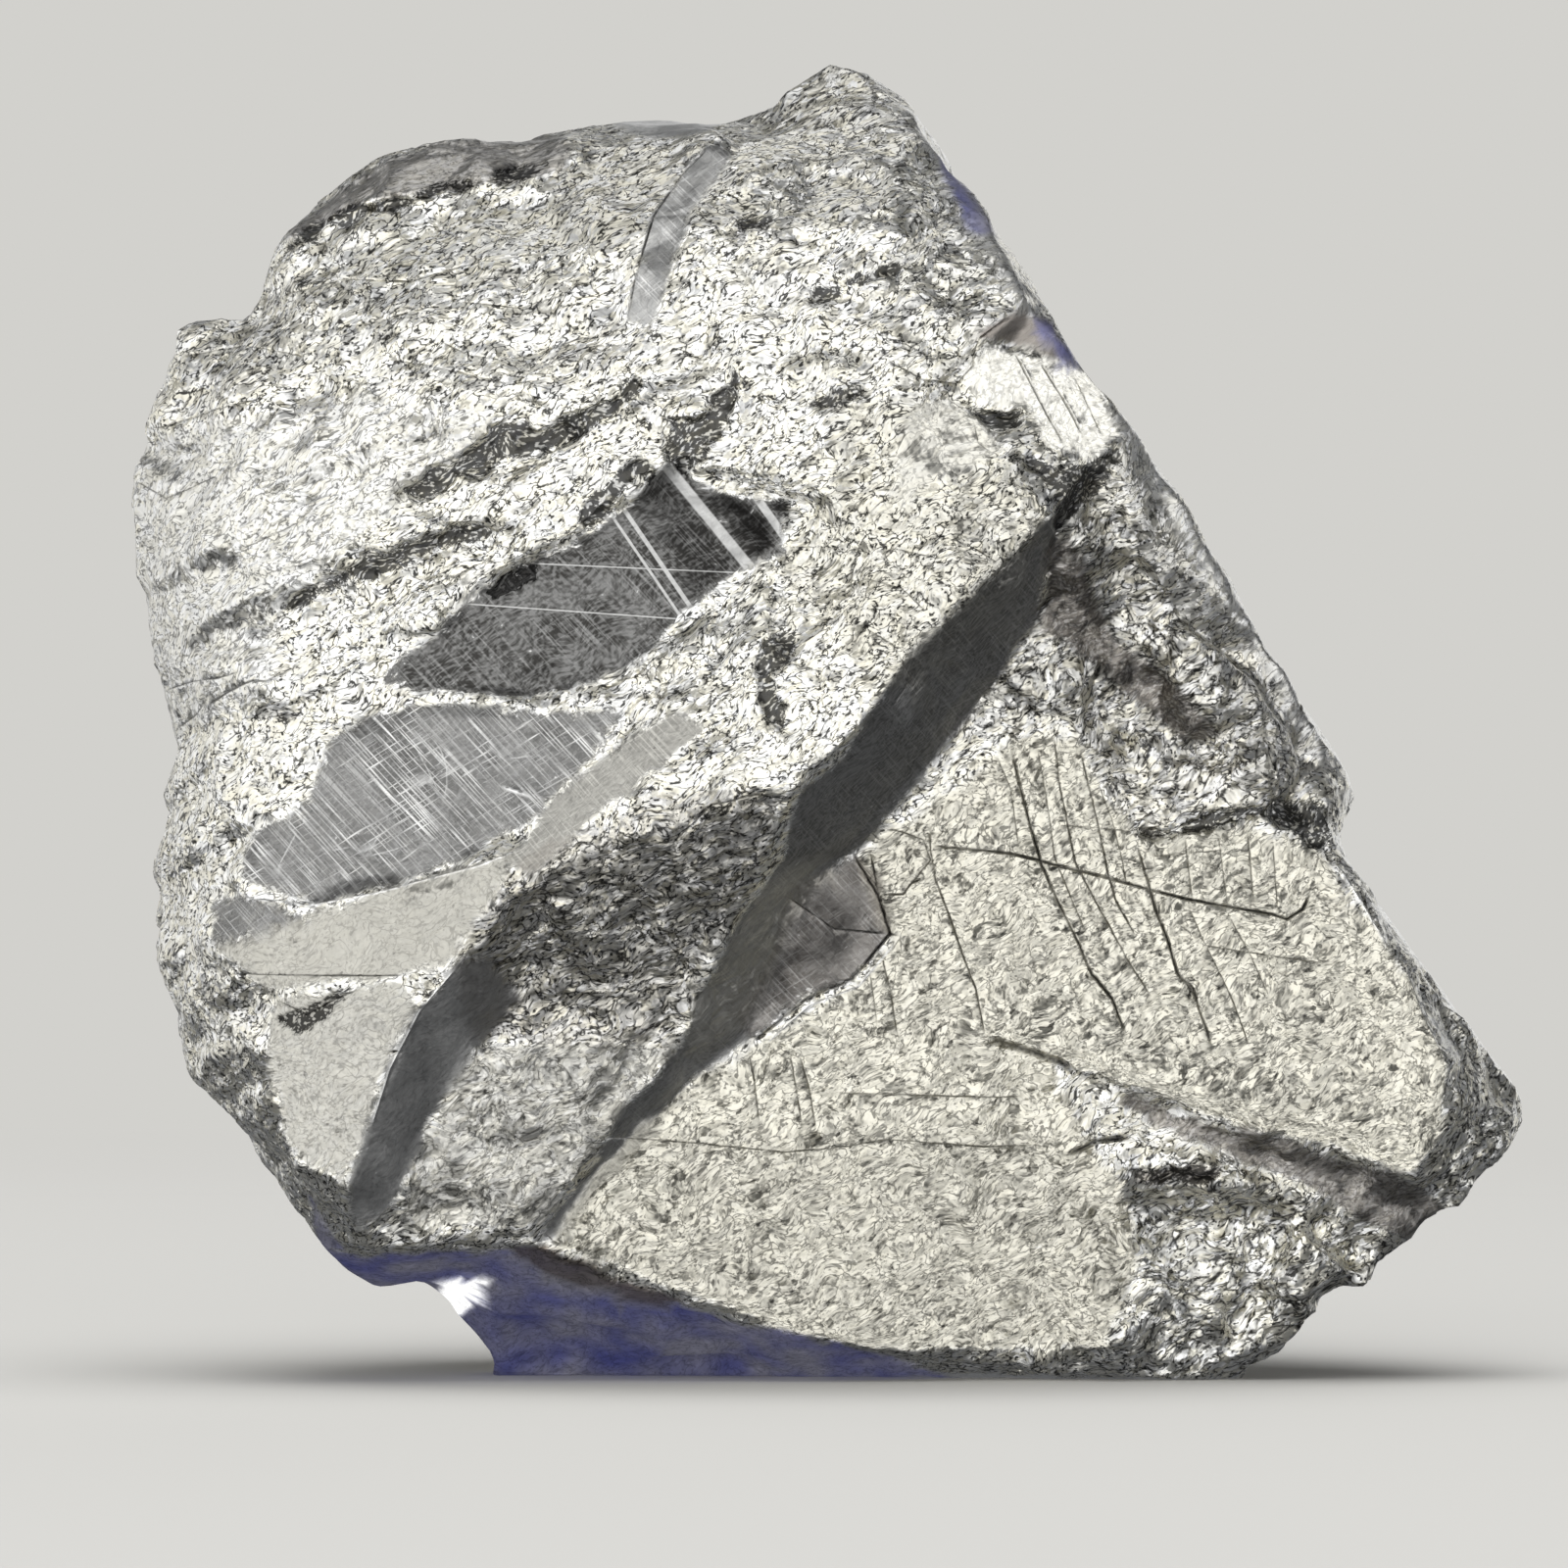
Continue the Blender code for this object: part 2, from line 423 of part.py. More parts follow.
def corners(mesh):
    low = Vector([min(v.co[i] for v in mesh.vertices) for i in range(3)])
    high = Vector([max(v.co[i] for v in mesh.vertices) for i in range(3)])
    return low, high


def stand_on_foot(obj, cutters):
    """Breaks the foot off flat, then brings the lump to its size with the origin under its middle."""
    low, _ = corners(obj.data)
    break_off(obj, "foot plane", low + Vector((0.0, 0.0, FOOT_TRIM)), Vector((0.0, 0.0, -1.0)), cutters)
    low, high = corners(obj.data)
    foot = Vector(((low.x + high.x) / 2, (low.y + high.y) / 2, low.z))
    sizes = high - low
    fit = Matrix.Diagonal((WIDTH / sizes.x, DEPTH / sizes.y, HEIGHT / sizes.z, 1.0))
    obj.data.transform(fit @ Matrix.Translation(-foot))


def pyrite_material():
    material = bpy.data.materials.new("pyrite")
    material.use_nodes = True
    shader = material.node_tree.nodes["Principled BSDF"]
    shader.inputs["Base Color"].default_value = (0.70, 0.67, 0.58, 1.0)
    shader.inputs["Metallic"].default_value = 1.0
    shader.inputs["Roughness"].default_value = 0.34
    return material


def build():
    clear_scene()
    collection = bpy.data.collections.new("pyrite cluster")
    bpy.context.scene.collection.children.link(collection)
    cutters = bpy.data.collections.new("cutters")
    bpy.context.scene.collection.children.link(cutters)
    lump = rough_block(collection)
    chop_all(lump, cutters)
    even_mesh(lump)
    add_grain(lump)
    even_mesh(lump)
    keep_largest(lump)
    thin(lump)
    stand_on_foot(lump, cutters)
    lump.data.materials.append(pyrite_material())
    return lump


build()
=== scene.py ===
# %% [markdown]
# # A lump of pyrite
# Massive pyrite is iron sulphide that grew as one mass of interlocked crystals. Broken by hand, it shows
# three kinds of surface: hackly grain that sparkles, a few smooth crystal faces with fine striations, and
# old, darker faces, some of them blue-violet. The solid already has the lump's shape. This script gives it
# the grain, the cracks and the metal, and paints part of the light and shade into the metal's colour.

# %% The frame
import math
import random

import bmesh
import bpy
import numpy as np
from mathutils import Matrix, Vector


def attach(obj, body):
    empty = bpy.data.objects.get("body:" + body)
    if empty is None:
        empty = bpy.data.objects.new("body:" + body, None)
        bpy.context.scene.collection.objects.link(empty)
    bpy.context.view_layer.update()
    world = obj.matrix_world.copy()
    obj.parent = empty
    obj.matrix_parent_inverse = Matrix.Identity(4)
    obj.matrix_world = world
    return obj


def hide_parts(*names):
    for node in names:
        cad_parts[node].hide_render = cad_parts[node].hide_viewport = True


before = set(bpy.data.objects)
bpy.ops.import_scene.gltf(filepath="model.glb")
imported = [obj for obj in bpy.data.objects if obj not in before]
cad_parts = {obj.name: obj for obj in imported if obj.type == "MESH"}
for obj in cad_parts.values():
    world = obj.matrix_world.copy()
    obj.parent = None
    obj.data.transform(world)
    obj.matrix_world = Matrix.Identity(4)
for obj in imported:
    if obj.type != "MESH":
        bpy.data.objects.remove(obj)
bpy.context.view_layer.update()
MM = 0.001


# %% [markdown]
# ## A drawing of the best face
# Most features sit at a particular place on the front. They are noted on a flat drawing of it, in
# (across, down) units of about a twentieth of a millimetre. One function turns the drawing into
# millimetres on the lump, measured sideways and upwards from the middle of its foot. Cutting the features
# into the solid one by one would be slower to make and harder to move than a list of outlines.

# %% Places on the drawing
FOOT = (845.2, 1400.7)  # where the middle of the foot is on the drawing
UNITS = (19.74, 20.06)  # of the drawing to a millimetre, sideways and upwards


def on_face(points):
    """Points (across, down) of the drawing as an array of (x, z) in millimetres."""
    drawn = np.array(points, dtype=float)
    return np.column_stack([(drawn[:, 0] - FOOT[0]) / UNITS[0], (FOOT[1] - drawn[:, 1]) / UNITS[1]])


def along_line(spots, line):
    """For each (x, z): distance to a line, which side of it, and how far along, in millimetres."""
    nearest, side, run = (np.full(len(spots), 1e3), np.zeros(len(spots)), np.zeros(len(spots)))
    travelled = 0.0
    for start, end in zip(line, line[1:]):
        step = end - start
        length = np.hypot(*step)
        share = np.clip((spots - start) @ step / (length * length + 1e-12), 0.0, 1.0)
        gap = spots - start - share[:, None] * step
        reach = np.linalg.norm(gap, axis=1)
        closer = reach < nearest
        nearest[closer] = reach[closer]
        side[closer] = (gap[closer] @ np.array([-step[1], step[0]])) / length
        run[closer] = travelled + share[closer] * length
        travelled += length
    return nearest, side, run


def inside_outline(spots, outline):
    """How far inside a closed outline each (x, z) lies, in millimetres; negative outside it."""
    closed = np.vstack([outline, outline[:1]])
    crossings = np.zeros(len(spots), dtype=bool)
    for (x0, z0), (x1, z1) in zip(closed, closed[1:]):
        spans = (z0 > spots[:, 1]) != (z1 > spots[:, 1])
        reach = x0 + (spots[:, 1] - z0) * (x1 - x0) / (z1 - z0 + 1e-12)
        crossings ^= spans & (spots[:, 0] < reach)
    return np.where(crossings, 1.0, -1.0) * along_line(spots, closed)[0]


def ease(values, low, high):
    """0 below low, 1 above high, and a smooth turn between them."""
    share = np.clip((values - low) / (high - low), 0.0, 1.0)
    return share * share * (3.0 - 2.0 * share)


LATTICE = np.random.default_rng(7).uniform(-1.0, 1.0, (64, 64))


def ragged(spots, size):
    """Wanders unevenly between about -1 and 1 over the face, in bends that are size millimetres long."""
    total = np.zeros(len(spots))
    for octave in range(3):
        place = spots / size * 2.0 ** octave + 17.3 * octave
        cell = np.floor(place).astype(int)
        (across, up), (i, j) = ease(place - cell, 0.0, 1.0).T, cell.T % 63
        low = LATTICE[i, j] * (1.0 - across) + LATTICE[i + 1, j] * across
        high = LATTICE[i, j + 1] * (1.0 - across) + LATTICE[i + 1, j + 1] * across
        total += 0.55 ** octave * (low * (1.0 - up) + high * up)
    return total


# %% Crystal faces on the drawing
FACES = {
    "gully": [
        (1085, 500), (1060, 530), (1005, 588), (928, 660), (880, 725), (862, 765), (815, 800), (800, 860),
        (745, 950), (715, 1010), (697, 1062), (640, 1122), (604, 1188), (560, 1248), (572, 1252), (646, 1168),
        (705, 1092), (768, 1052), (800, 965), (822, 905), (872, 860), (925, 800), (968, 745), (1015, 680),
        (1050, 620), (1062, 560),
    ],
    "mirror": [
        (400, 690), (520, 590), (620, 540), (655, 510), (690, 470), (720, 500), (745, 505), (800, 510),
        (803, 565), (740, 590), (700, 625), (660, 668), (620, 690), (560, 706), (450, 702),
    ],
    "scratched": [
        (262, 888), (276, 845), (330, 816), (343, 780), (356, 748), (400, 724), (470, 713), (560, 722),
        (646, 722), (604, 776), (545, 836), (500, 862), (440, 886), (380, 904), (330, 913),
    ],
    "ramp": [
        (530, 868), (552, 838), (580, 800), (624, 768), (660, 738), (700, 724), (722, 738), (690, 768),
        (652, 800), (612, 830), (580, 860), (552, 886),
    ],
    "shelf": [
        (240, 960), (330, 925), (470, 880), (540, 862), (500, 930), (470, 975), (430, 985), (290, 1000),
    ],
    "pale face": [
        (945, 815), (1000, 780), (1020, 750), (1090, 745), (1115, 800), (1150, 845), (1260, 835), (1340, 862),
        (1350, 890), (1400, 960), (1440, 1010), (1462, 1080), (1455, 1150), (1430, 1190), (1340, 1160),
        (1240, 1135), (1150, 1100), (1100, 1085), (1060, 1065), (1100, 1150), (1140, 1200), (1150, 1290),
        (1120, 1365), (900, 1368), (800, 1348), (700, 1308), (572, 1258), (604, 1192), (705, 1098),
        (780, 1050), (870, 1000), (905, 950), (880, 900), (870, 870), (905, 838),
    ],
    "tile": [
        (975, 378), (1000, 354), (1060, 370), (1110, 385), (1130, 440), (1105, 475), (1060, 455), (1035, 420),
        (985, 415),
    ],
    "tile top": [(990, 348), (1030, 318), (1058, 330), (1085, 372), (1050, 366), (1010, 352)],
    "leaf": [
        (930, 415), (960, 412), (1000, 440), (1020, 462), (985, 478), (940, 490), (915, 520), (905, 470),
    ],
    "sliver": [
        (748, 160), (728, 192), (704, 232), (688, 282), (668, 338), (644, 332), (656, 280), (672, 225),
        (698, 180), (726, 152),
    ],
    "column wall": [
        (480, 975), (440, 1020), (410, 1080), (390, 1140), (370, 1190), (372, 1238), (400, 1235), (425, 1195),
        (445, 1140), (470, 1100), (500, 1055), (535, 1010), (510, 968),
    ],
    "column": [
        (300, 1010), (420, 990), (438, 1015), (402, 1080), (383, 1150), (362, 1195), (310, 1160), (288, 1080),
    ],
    "keel": [
        (330, 1212), (362, 1272), (500, 1266), (545, 1262), (640, 1298), (760, 1342), (900, 1374),
        (965, 1400), (760, 1420), (500, 1410), (400, 1340), (330, 1300),
    ],
    "flank wall": [
        (1062, 560), (1080, 545), (1100, 600), (1130, 650), (1190, 700), (1230, 742), (1200, 750),
        (1140, 702), (1080, 652), (1055, 640),
    ],
    "step": [
        (1145, 1103), (1180, 1123), (1240, 1143), (1300, 1153), (1350, 1173), (1400, 1188), (1450, 1215),
        (1470, 1240), (1430, 1262), (1370, 1234), (1330, 1207), (1280, 1184), (1230, 1164), (1180, 1143),
        (1130, 1116),
    ],
    "lip": [
        (305, 232), (380, 170), (450, 145), (560, 128), (590, 150), (585, 178), (540, 185), (450, 200),
        (380, 208), (310, 245),
    ],
    "top cap": [(625, 120), (660, 97), (720, 102), (745, 118), (720, 138), (670, 140), (640, 132)],
    "notch side": [
        (800, 905), (870, 862), (895, 890), (905, 945), (890, 965), (868, 990), (820, 1010), (770, 1055),
        (750, 1030), (790, 960),
    ],
    "white wedge": [(452, 1300), (506, 1296), (500, 1320), (468, 1342)],
    "brown foot": [(525, 1262), (560, 1262), (640, 1294), (700, 1318), (650, 1326), (600, 1312), (560, 1292)],
    "gully foot": [
        (800, 880), (860, 880), (822, 905), (795, 970), (765, 1040), (700, 1075), (705, 1030), (745, 955),
    ],
    "gully end": [(697, 1075), (760, 1052), (700, 1100), (640, 1180), (572, 1262), (548, 1250), (604, 1175)],
    "foot rim": [(490, 1376), (790, 1380), (790, 1425), (490, 1425)],
    "upper blue": [(952, 160), (975, 182), (1004, 240), (990, 246), (966, 205)],
    "lower blue": [(1036, 316), (1062, 335), (1092, 376), (1080, 382), (1052, 345)],
    "striated strip": [
        (1008, 755), (1095, 748), (1125, 830), (1200, 930), (1270, 1075), (1180, 1080), (1090, 960),
        (1030, 850),
    ],
    "right edge": [
        (925, 105), (965, 160), (1008, 240), (1050, 318), (1096, 388), (1145, 432), (1215, 545),
        (1275, 638), (1345, 745), (1380, 800), (1360, 812), (1322, 752), (1255, 648), (1195, 555),
        (1128, 450), (1080, 392), (1032, 325), (990, 248), (950, 170), (915, 112),
    ],
    "lower scratched": [(232, 912), (262, 903), (325, 925), (290, 938), (235, 955)],
    "dark cell": [(716, 508), (745, 505), (764, 512), (792, 552), (778, 570), (760, 564)],
    "darker cell": [(790, 510), (806, 512), (806, 540), (800, 545)],
    "striped cell": [(655, 515), (672, 488), (694, 490), (748, 572), (735, 588), (708, 606)],
}
FACES = {name: on_face(outline) for name, outline in FACES.items()}
print(len(FACES), "faces on the drawing")

# %% Broken patches on the drawing
PATCHES = {
    "coarse corner": [
        (1130, 1180), (1180, 1165), (1240, 1175), (1330, 1210), (1390, 1255), (1430, 1290), (1440, 1310),
        (1400, 1370), (1250, 1395), (1150, 1390), (1160, 1300),
    ],
    "right tip": [
        (1440, 1015), (1470, 1090), (1455, 1160), (1440, 1200), (1460, 1240), (1450, 1290), (1500, 1290),
        (1560, 1200), (1560, 1120), (1500, 1040), (1445, 985),
    ],
    "right bank": [
        (1115, 480), (1130, 460), (1230, 600), (1300, 700), (1365, 800), (1350, 840), (1330, 810),
        (1250, 805), (1160, 850), (1110, 790), (1095, 745), (1010, 745), (960, 750), (1010, 685),
        (1050, 625), (1062, 560), (1080, 520),
    ],
    "dark hollow": [
        (480, 960), (545, 870), (620, 830), (700, 800), (800, 800), (790, 860), (745, 945), (710, 1010),
        (690, 1060), (640, 1050), (560, 1055), (500, 1050), (480, 1010),
    ],
    "lower left": [
        (500, 1055), (560, 1055), (640, 1055), (690, 1062), (640, 1120), (600, 1185), (550, 1240),
        (420, 1240), (430, 1190), (450, 1140), (470, 1100),
    ],
    "left stipple": [
        (145, 450), (400, 400), (520, 430), (420, 520), (300, 620), (300, 700), (190, 745), (160, 620),
    ],
    "upper leaf": [
        (760, 150), (930, 120), (1040, 300), (980, 370), (1020, 480), (1060, 520), (940, 640), (840, 720),
        (760, 640), (810, 520), (700, 480), (640, 360), (690, 240),
    ],
    "recess": [
        (680, 462), (690, 432), (725, 428), (752, 380), (756, 400), (742, 440), (720, 470), (700, 482),
    ],
    "ledge": [
        (422, 503), (448, 484), (480, 470), (500, 456), (512, 440), (545, 430), (560, 444), (600, 426),
        (640, 405), (655, 392), (660, 400), (640, 420), (600, 446), (560, 464), (520, 474), (470, 496),
        (440, 508),
    ],
    "second ledge": [
        (292, 626), (330, 598), (365, 580), (400, 562), (450, 545), (490, 538), (525, 542), (480, 556),
        (440, 566), (420, 584), (380, 590), (340, 606), (310, 622),
    ],
    "small hollow": [(510, 604), (520, 590), (545, 578), (560, 572), (555, 588), (530, 606)],
    "mirror rim": [
        (600, 530), (615, 505), (640, 482), (668, 470), (672, 486), (650, 500), (630, 520), (610, 540),
    ],
    "under the lip": [
        (312, 250), (318, 228), (345, 216), (380, 206), (420, 206), (460, 190), (470, 194), (440, 208),
        (400, 216), (350, 232), (330, 246),
    ],
    "under the slab": [(470, 192), (500, 182), (540, 172), (565, 168), (560, 178), (520, 188), (480, 196)],
    "crest hollow": [(750, 250), (755, 228), (790, 226), (785, 246), (768, 242)],
    "crest shadow": [
        (812, 318), (835, 300), (870, 288), (900, 278), (950, 272), (900, 290), (850, 306), (825, 318),
    ],
    "knob shadow": [(770, 668), (800, 640), (812, 650), (790, 690), (800, 735), (780, 725)],
    "fold shadow": [(820, 418), (850, 404), (885, 400), (860, 416), (835, 424)],
    "tile shadow": [(985, 420), (1000, 422), (1020, 432), (1035, 420), (1032, 440), (1005, 440)],
    "bank shadow": [
        (1040, 470), (1070, 480), (1100, 478), (1130, 452), (1135, 470), (1105, 500), (1085, 520),
        (1070, 545), (1062, 520), (1050, 490),
    ],
    "tile cliff": [(1148, 842), (1190, 838), (1230, 822), (1290, 812), (1335, 815), (1350, 850), (1330, 862),
                   (1310, 840), (1260, 830), (1200, 842), (1160, 852)],
    "lower pit": [(1140, 1182), (1180, 1176), (1230, 1186), (1225, 1200), (1180, 1198), (1150, 1196)],
    "star pit": [(1195, 990), (1205, 982), (1215, 992), (1212, 1008), (1202, 1015), (1192, 1003)],
    "ridge pit": [(820, 1283), (832, 1285), (830, 1297), (820, 1295)],
    "long edge": [(895, 120), (930, 84), (1245, 570), (1385, 780), (1330, 812), (1205, 630), (1095, 458)],
    "lower pale": [
        (600, 1180), (700, 1150), (860, 1150), (1050, 1150), (1110, 1190), (1140, 1280), (1150, 1400),
        (900, 1390), (720, 1310), (570, 1255),
    ],
    "slope": [
        (845, 425), (900, 405), (985, 440), (1060, 520), (1040, 590), (960, 690), (880, 700), (850, 640),
        (800, 600), (800, 560), (850, 500),
    ],
    "shelf hollow": [(305, 1030), (330, 1018), (360, 1000), (375, 1005), (350, 1028), (320, 1040)],
}
PATCHES = {name: on_face(outline) for name, outline in PATCHES.items()}
SHAPES = {**FACES, **PATCHES}
print(len(PATCHES), "broken patches on the drawing")


# %% [markdown]
# ## The body of the lump
# The solid's facets are about a millimetre across, the size of the larger grains. A copy of it is covered
# with an even, finer mesh, so that grain of a third of a millimetre can be raised on it. The copy's loose
# triangles are merged first, or the new mesh would leak.

# %% A fine copy of the solid
FINE = 0.2 * MM  # spacing of the fine mesh
SOFTEN = 1  # passes that round off the solid's own facets before the grain goes on


def with_modifiers(obj):
    """Makes the result of the object's modifiers its plain mesh."""
    graph = bpy.context.evaluated_depsgraph_get()
    mesh = bpy.data.meshes.new_from_object(obj.evaluated_get(graph))
    obj.modifiers.clear()
    obj.data = mesh
    return obj


def fine_copy(node):
    """A copy of a node with an even fine mesh over it."""
    bm = bmesh.new()
    bm.from_mesh(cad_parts[node].data)
    bmesh.ops.remove_doubles(bm, verts=bm.verts, dist=1e-6)
    bmesh.ops.recalc_face_normals(bm, faces=bm.faces)
    mesh = bpy.data.meshes.new("pyrite lump")
    bm.to_mesh(mesh)
    bm.free()
    obj = bpy.data.objects.new("pyrite_lump", mesh)
    bpy.context.scene.collection.objects.link(obj)
    remesh = obj.modifiers.new("even mesh", "REMESH")
    remesh.mode = "VOXEL"
    remesh.voxel_size = FINE
    soften = obj.modifiers.new("soften", "SMOOTH")
    soften.factor = 0.5
    soften.iterations = SOFTEN
    return with_modifiers(obj)


lump = fine_copy("pyrite")
print("fine copy:", len(lump.data.vertices), "points")


# %% [markdown]
# ## Where the grain goes
# Grain covers every broken surface, and stays off the crystal faces. Each point of the mesh gets a few
# numbers between 0 and 1 that say how rough it is and what film lies on it. The relief and the metal both
# read them, so a face is smooth in shape and in finish at the same line.

# %% Reading and writing numbers on the mesh
def read_points(mesh):
    """Places in millimetres and unit normals of all points."""
    count = len(mesh.vertices)
    places, normals = np.empty(count * 3), np.empty(count * 3)
    mesh.vertices.foreach_get("co", places)
    mesh.vertices.foreach_get("normal", normals)
    return places.reshape(-1, 3) / MM, normals.reshape(-1, 3)


def write_numbers(mesh, name, values):
    """Writes one number for each point, under a name that the node trees read."""
    layer = mesh.attributes.get(name) or mesh.attributes.new(name, "FLOAT", "POINT")
    layer.data.foreach_set("value", np.asarray(values, dtype=np.float32))


LONG_SIDE = np.array([0.84, 0.0, 0.54])  # the way the long flat side on the right faces
WANDER = {"face": 0.17, "patch": 0.28}  # mm, how far an edge strays from its drawn line
BENDS = 1.1  # mm, length of the bends of an edge
ROUND = 1.0  # mm, how far round a shape its share is worked out


def share_of(places, normals, name, fade=0.35, grow=0.0):
    """1 on a shape of the drawing, 0 off it, for points on the front of the lump; grow widens it, in mm."""
    side = (normals @ LONG_SIDE > 0.8) & (places[:, 1] > -9.0)
    front = (places[:, 1] < 2.0) & (normals[:, 1] < 0.3) & ~side
    share = np.zeros(len(places))
    outline = SHAPES[name]
    low, high = outline.min(0) - ROUND, outline.max(0) + ROUND
    spots = places[:, [0, 2]]
    near = front & (spots > low).all(1) & (spots < high).all(1)
    wander = WANDER["patch" if name in PATCHES else "face"] * ragged(spots[near], BENDS)
    share[near] = ease(inside_outline(spots[near], outline) + wander + grow, -fade, fade)
    return share


def painted(places, normals, strengths, fade=0.35, grow=0.0):
    """The largest of several shapes' shares, each times its own strength."""
    shares = [value * share_of(places, normals, name, fade, grow) for name, value in strengths.items()]
    return np.max(shares, axis=0)


# %% [markdown]
# ## Calm faces, coarse corners and hollows
# A crystal face is nearly smooth, a fresh break is hackly, and under each ledge there is a small hollow
# that stays in shadow. Sculpting them by hand would work but couldn't be repeated. Here every shape of the
# drawing has one number: how calm, how coarse or how deep it is. Calm faces are levelled with a Smooth
# modifier first, so that the solid's own facets don't show through, and the hollows are then pushed in.

# %% How rough each patch is
CALM = {  # how far each face or patch is held back from full roughness
    "gully": 1.0, "mirror": 0.96, "scratched": 0.9, "ramp": 0.97, "shelf": 0.85, "tile": 0.9,
    "tile top": 0.95, "leaf": 0.6, "sliver": 0.9, "column wall": 0.95, "column": 0.8, "keel": 0.97,
    "flank wall": 0.5, "step": 0.5, "lip": 0.5, "top cap": 0.9, "notch side": 0.9, "white wedge": 1.0,
    "pale face": 0.66, "left stipple": 0.3, "lower left": 0.35, "right edge": 0.5, "lower scratched": 0.8,
    "long edge": 0.8, "upper blue": 0.8, "lower blue": 0.8,
}
HOLLOWS = {  # how deep each shadowed hollow goes, in mm
    "ledge": 0.35, "second ledge": 0.28, "small hollow": 0.25, "mirror rim": 0.25, "under the lip": 0.3,
    "under the slab": 0.3, "crest hollow": 0.3, "crest shadow": 0.2, "knob shadow": 0.3, "fold shadow": 0.2,
    "tile shadow": 0.35, "bank shadow": 0.3, "tile cliff": 0.35, "lower pit": 0.2, "star pit": 0.25,
    "ridge pit": 0.2, "recess": 0.3, "shelf hollow": 0.3,
}
COARSE = {"coarse corner": 1.0, "right bank": 0.7, "right tip": 0.75, "dark hollow": 0.5, "recess": 0.6}
FADE, COARSE_FADE = 0.35, 0.6  # mm, half the width over which calm and coarse ground fade out
SHARP, SOFT = 0.15, 0.25  # mm, half the width of a film's and a tint's border, and of one that the shader cuts crisp
LEVELLING = 14  # passes that level the calm faces


def roughness_of(places, normals, fade, calm=CALM):
    """How rough each point is: 1 on fresh breaks, less on faces, on the long flat side and on the foot."""
    calm = painted(places, normals, calm, fade)
    side = 0.6 * ease(normals @ LONG_SIDE, 0.82, 0.96) * ease(places[:, 1], -11.0, -7.0)
    foot = ease(-normals[:, 2], 0.9, 0.97) * (places[:, 2] < 0.4)
    return 1.0 - np.clip(np.maximum.reduce([calm, side, foot]), 0.0, 1.0)


# %% Calm faces levelled, hollows pushed in
places, normals = read_points(lump.data)
calm = np.nonzero(roughness_of(places, normals, FADE) < 0.5)[0]
lump.vertex_groups.new(name="calm").add(calm.tolist(), 1.0, "REPLACE")
level = lump.modifiers.new("level the faces", "SMOOTH")
level.factor, level.iterations, level.vertex_group = 0.5, LEVELLING, "calm"
lump = with_modifiers(lump)
lump.vertex_groups.clear()
places, normals = read_points(lump.data)
write_numbers(lump.data, "rough", roughness_of(places, normals, FADE))
edge = np.maximum(share_of(places, normals, "long edge"), ease(normals @ LONG_SIDE, 0.6, 0.85))
write_numbers(lump.data, "coarse", painted(places, normals, COARSE, COARSE_FADE) * (1.0 - 0.8 * edge))
sunk = painted(places, normals, HOLLOWS, SOFT)
lump.data.vertices.foreach_set("co", ((places - normals * sunk[:, None]) * MM).ravel())
lump.data.update()
print("levelled:", len(calm), "points, sunk:", int((sunk > 0).sum()), "points")


# %% [markdown]
# ## Hackly grain
# Pyrite has no good cleavage, so it breaks into small flat chips that each lean their own way, along folds
# that run up to the right. The rule is simple: split space into random cells, give each cell a plane with
# a random lean, and move the surface to it. Geometry Nodes does that everywhere at once, with the sizes as
# named inputs.

# %% One helper for every node tree
def add_node(tree, kind, inputs=None, **settings):
    """Adds a node, makes its settings, and fills or links its inputs by name or number."""
    node = tree.nodes.new(kind)
    for name, value in settings.items():
        setattr(node, name, value)
    for key, value in (inputs or {}).items():
        if isinstance(value, bpy.types.NodeSocket):
            tree.links.new(value, node.inputs[key])
        else:
            node.inputs[key].default_value = value
    return node


def open_tree(name, sizes):
    """A Geometry Nodes tree with a geometry socket, a material and named sizes."""
    tree = bpy.data.node_groups.new(name, "GeometryNodeTree")
    tree.interface.new_socket("Geometry", in_out="INPUT", socket_type="NodeSocketGeometry")
    tree.interface.new_socket("Geometry", in_out="OUTPUT", socket_type="NodeSocketGeometry")
    for label, value in sizes.items():
        socket = tree.interface.new_socket(label, in_out="INPUT", socket_type="NodeSocketFloat")
        socket.default_value = value
    tree.interface.new_socket("Material", in_out="INPUT", socket_type="NodeSocketMaterial")
    return tree


def run_tree(obj, tree, sizes, material):
    """Runs a tree on an object, its inputs set by identifier, and keeps the result as a plain mesh."""
    modifier = obj.modifiers.new(tree.name, "NODES")
    modifier.node_group = tree
    sockets = {s.name: s.identifier for s in tree.interface.items_tree if s.in_out == "INPUT"}
    for label, value in {**sizes, "Material": material}.items():
        modifier[sockets[label]] = value
    return with_modifiers(obj)


# %% The relief tree
FLOW = math.radians(30.0)  # the lump splits up to the right at this angle
HALF = (0.5, 0.5, 0.5)  # the middle of a noise's colour, taken away to get a lean to every side
RELIEF = {
    "Fold size": 1.2 * MM,
    "Fold relief": 0.15 * MM,
    "Chip size": 1.0 * MM,
    "Chip lean": 0.085,
    "Grain size": 0.50 * MM,
    "Grain lean": 0.09,
    "Blob size": 0.85 * MM,
    "Blob relief": 0.26 * MM,
}


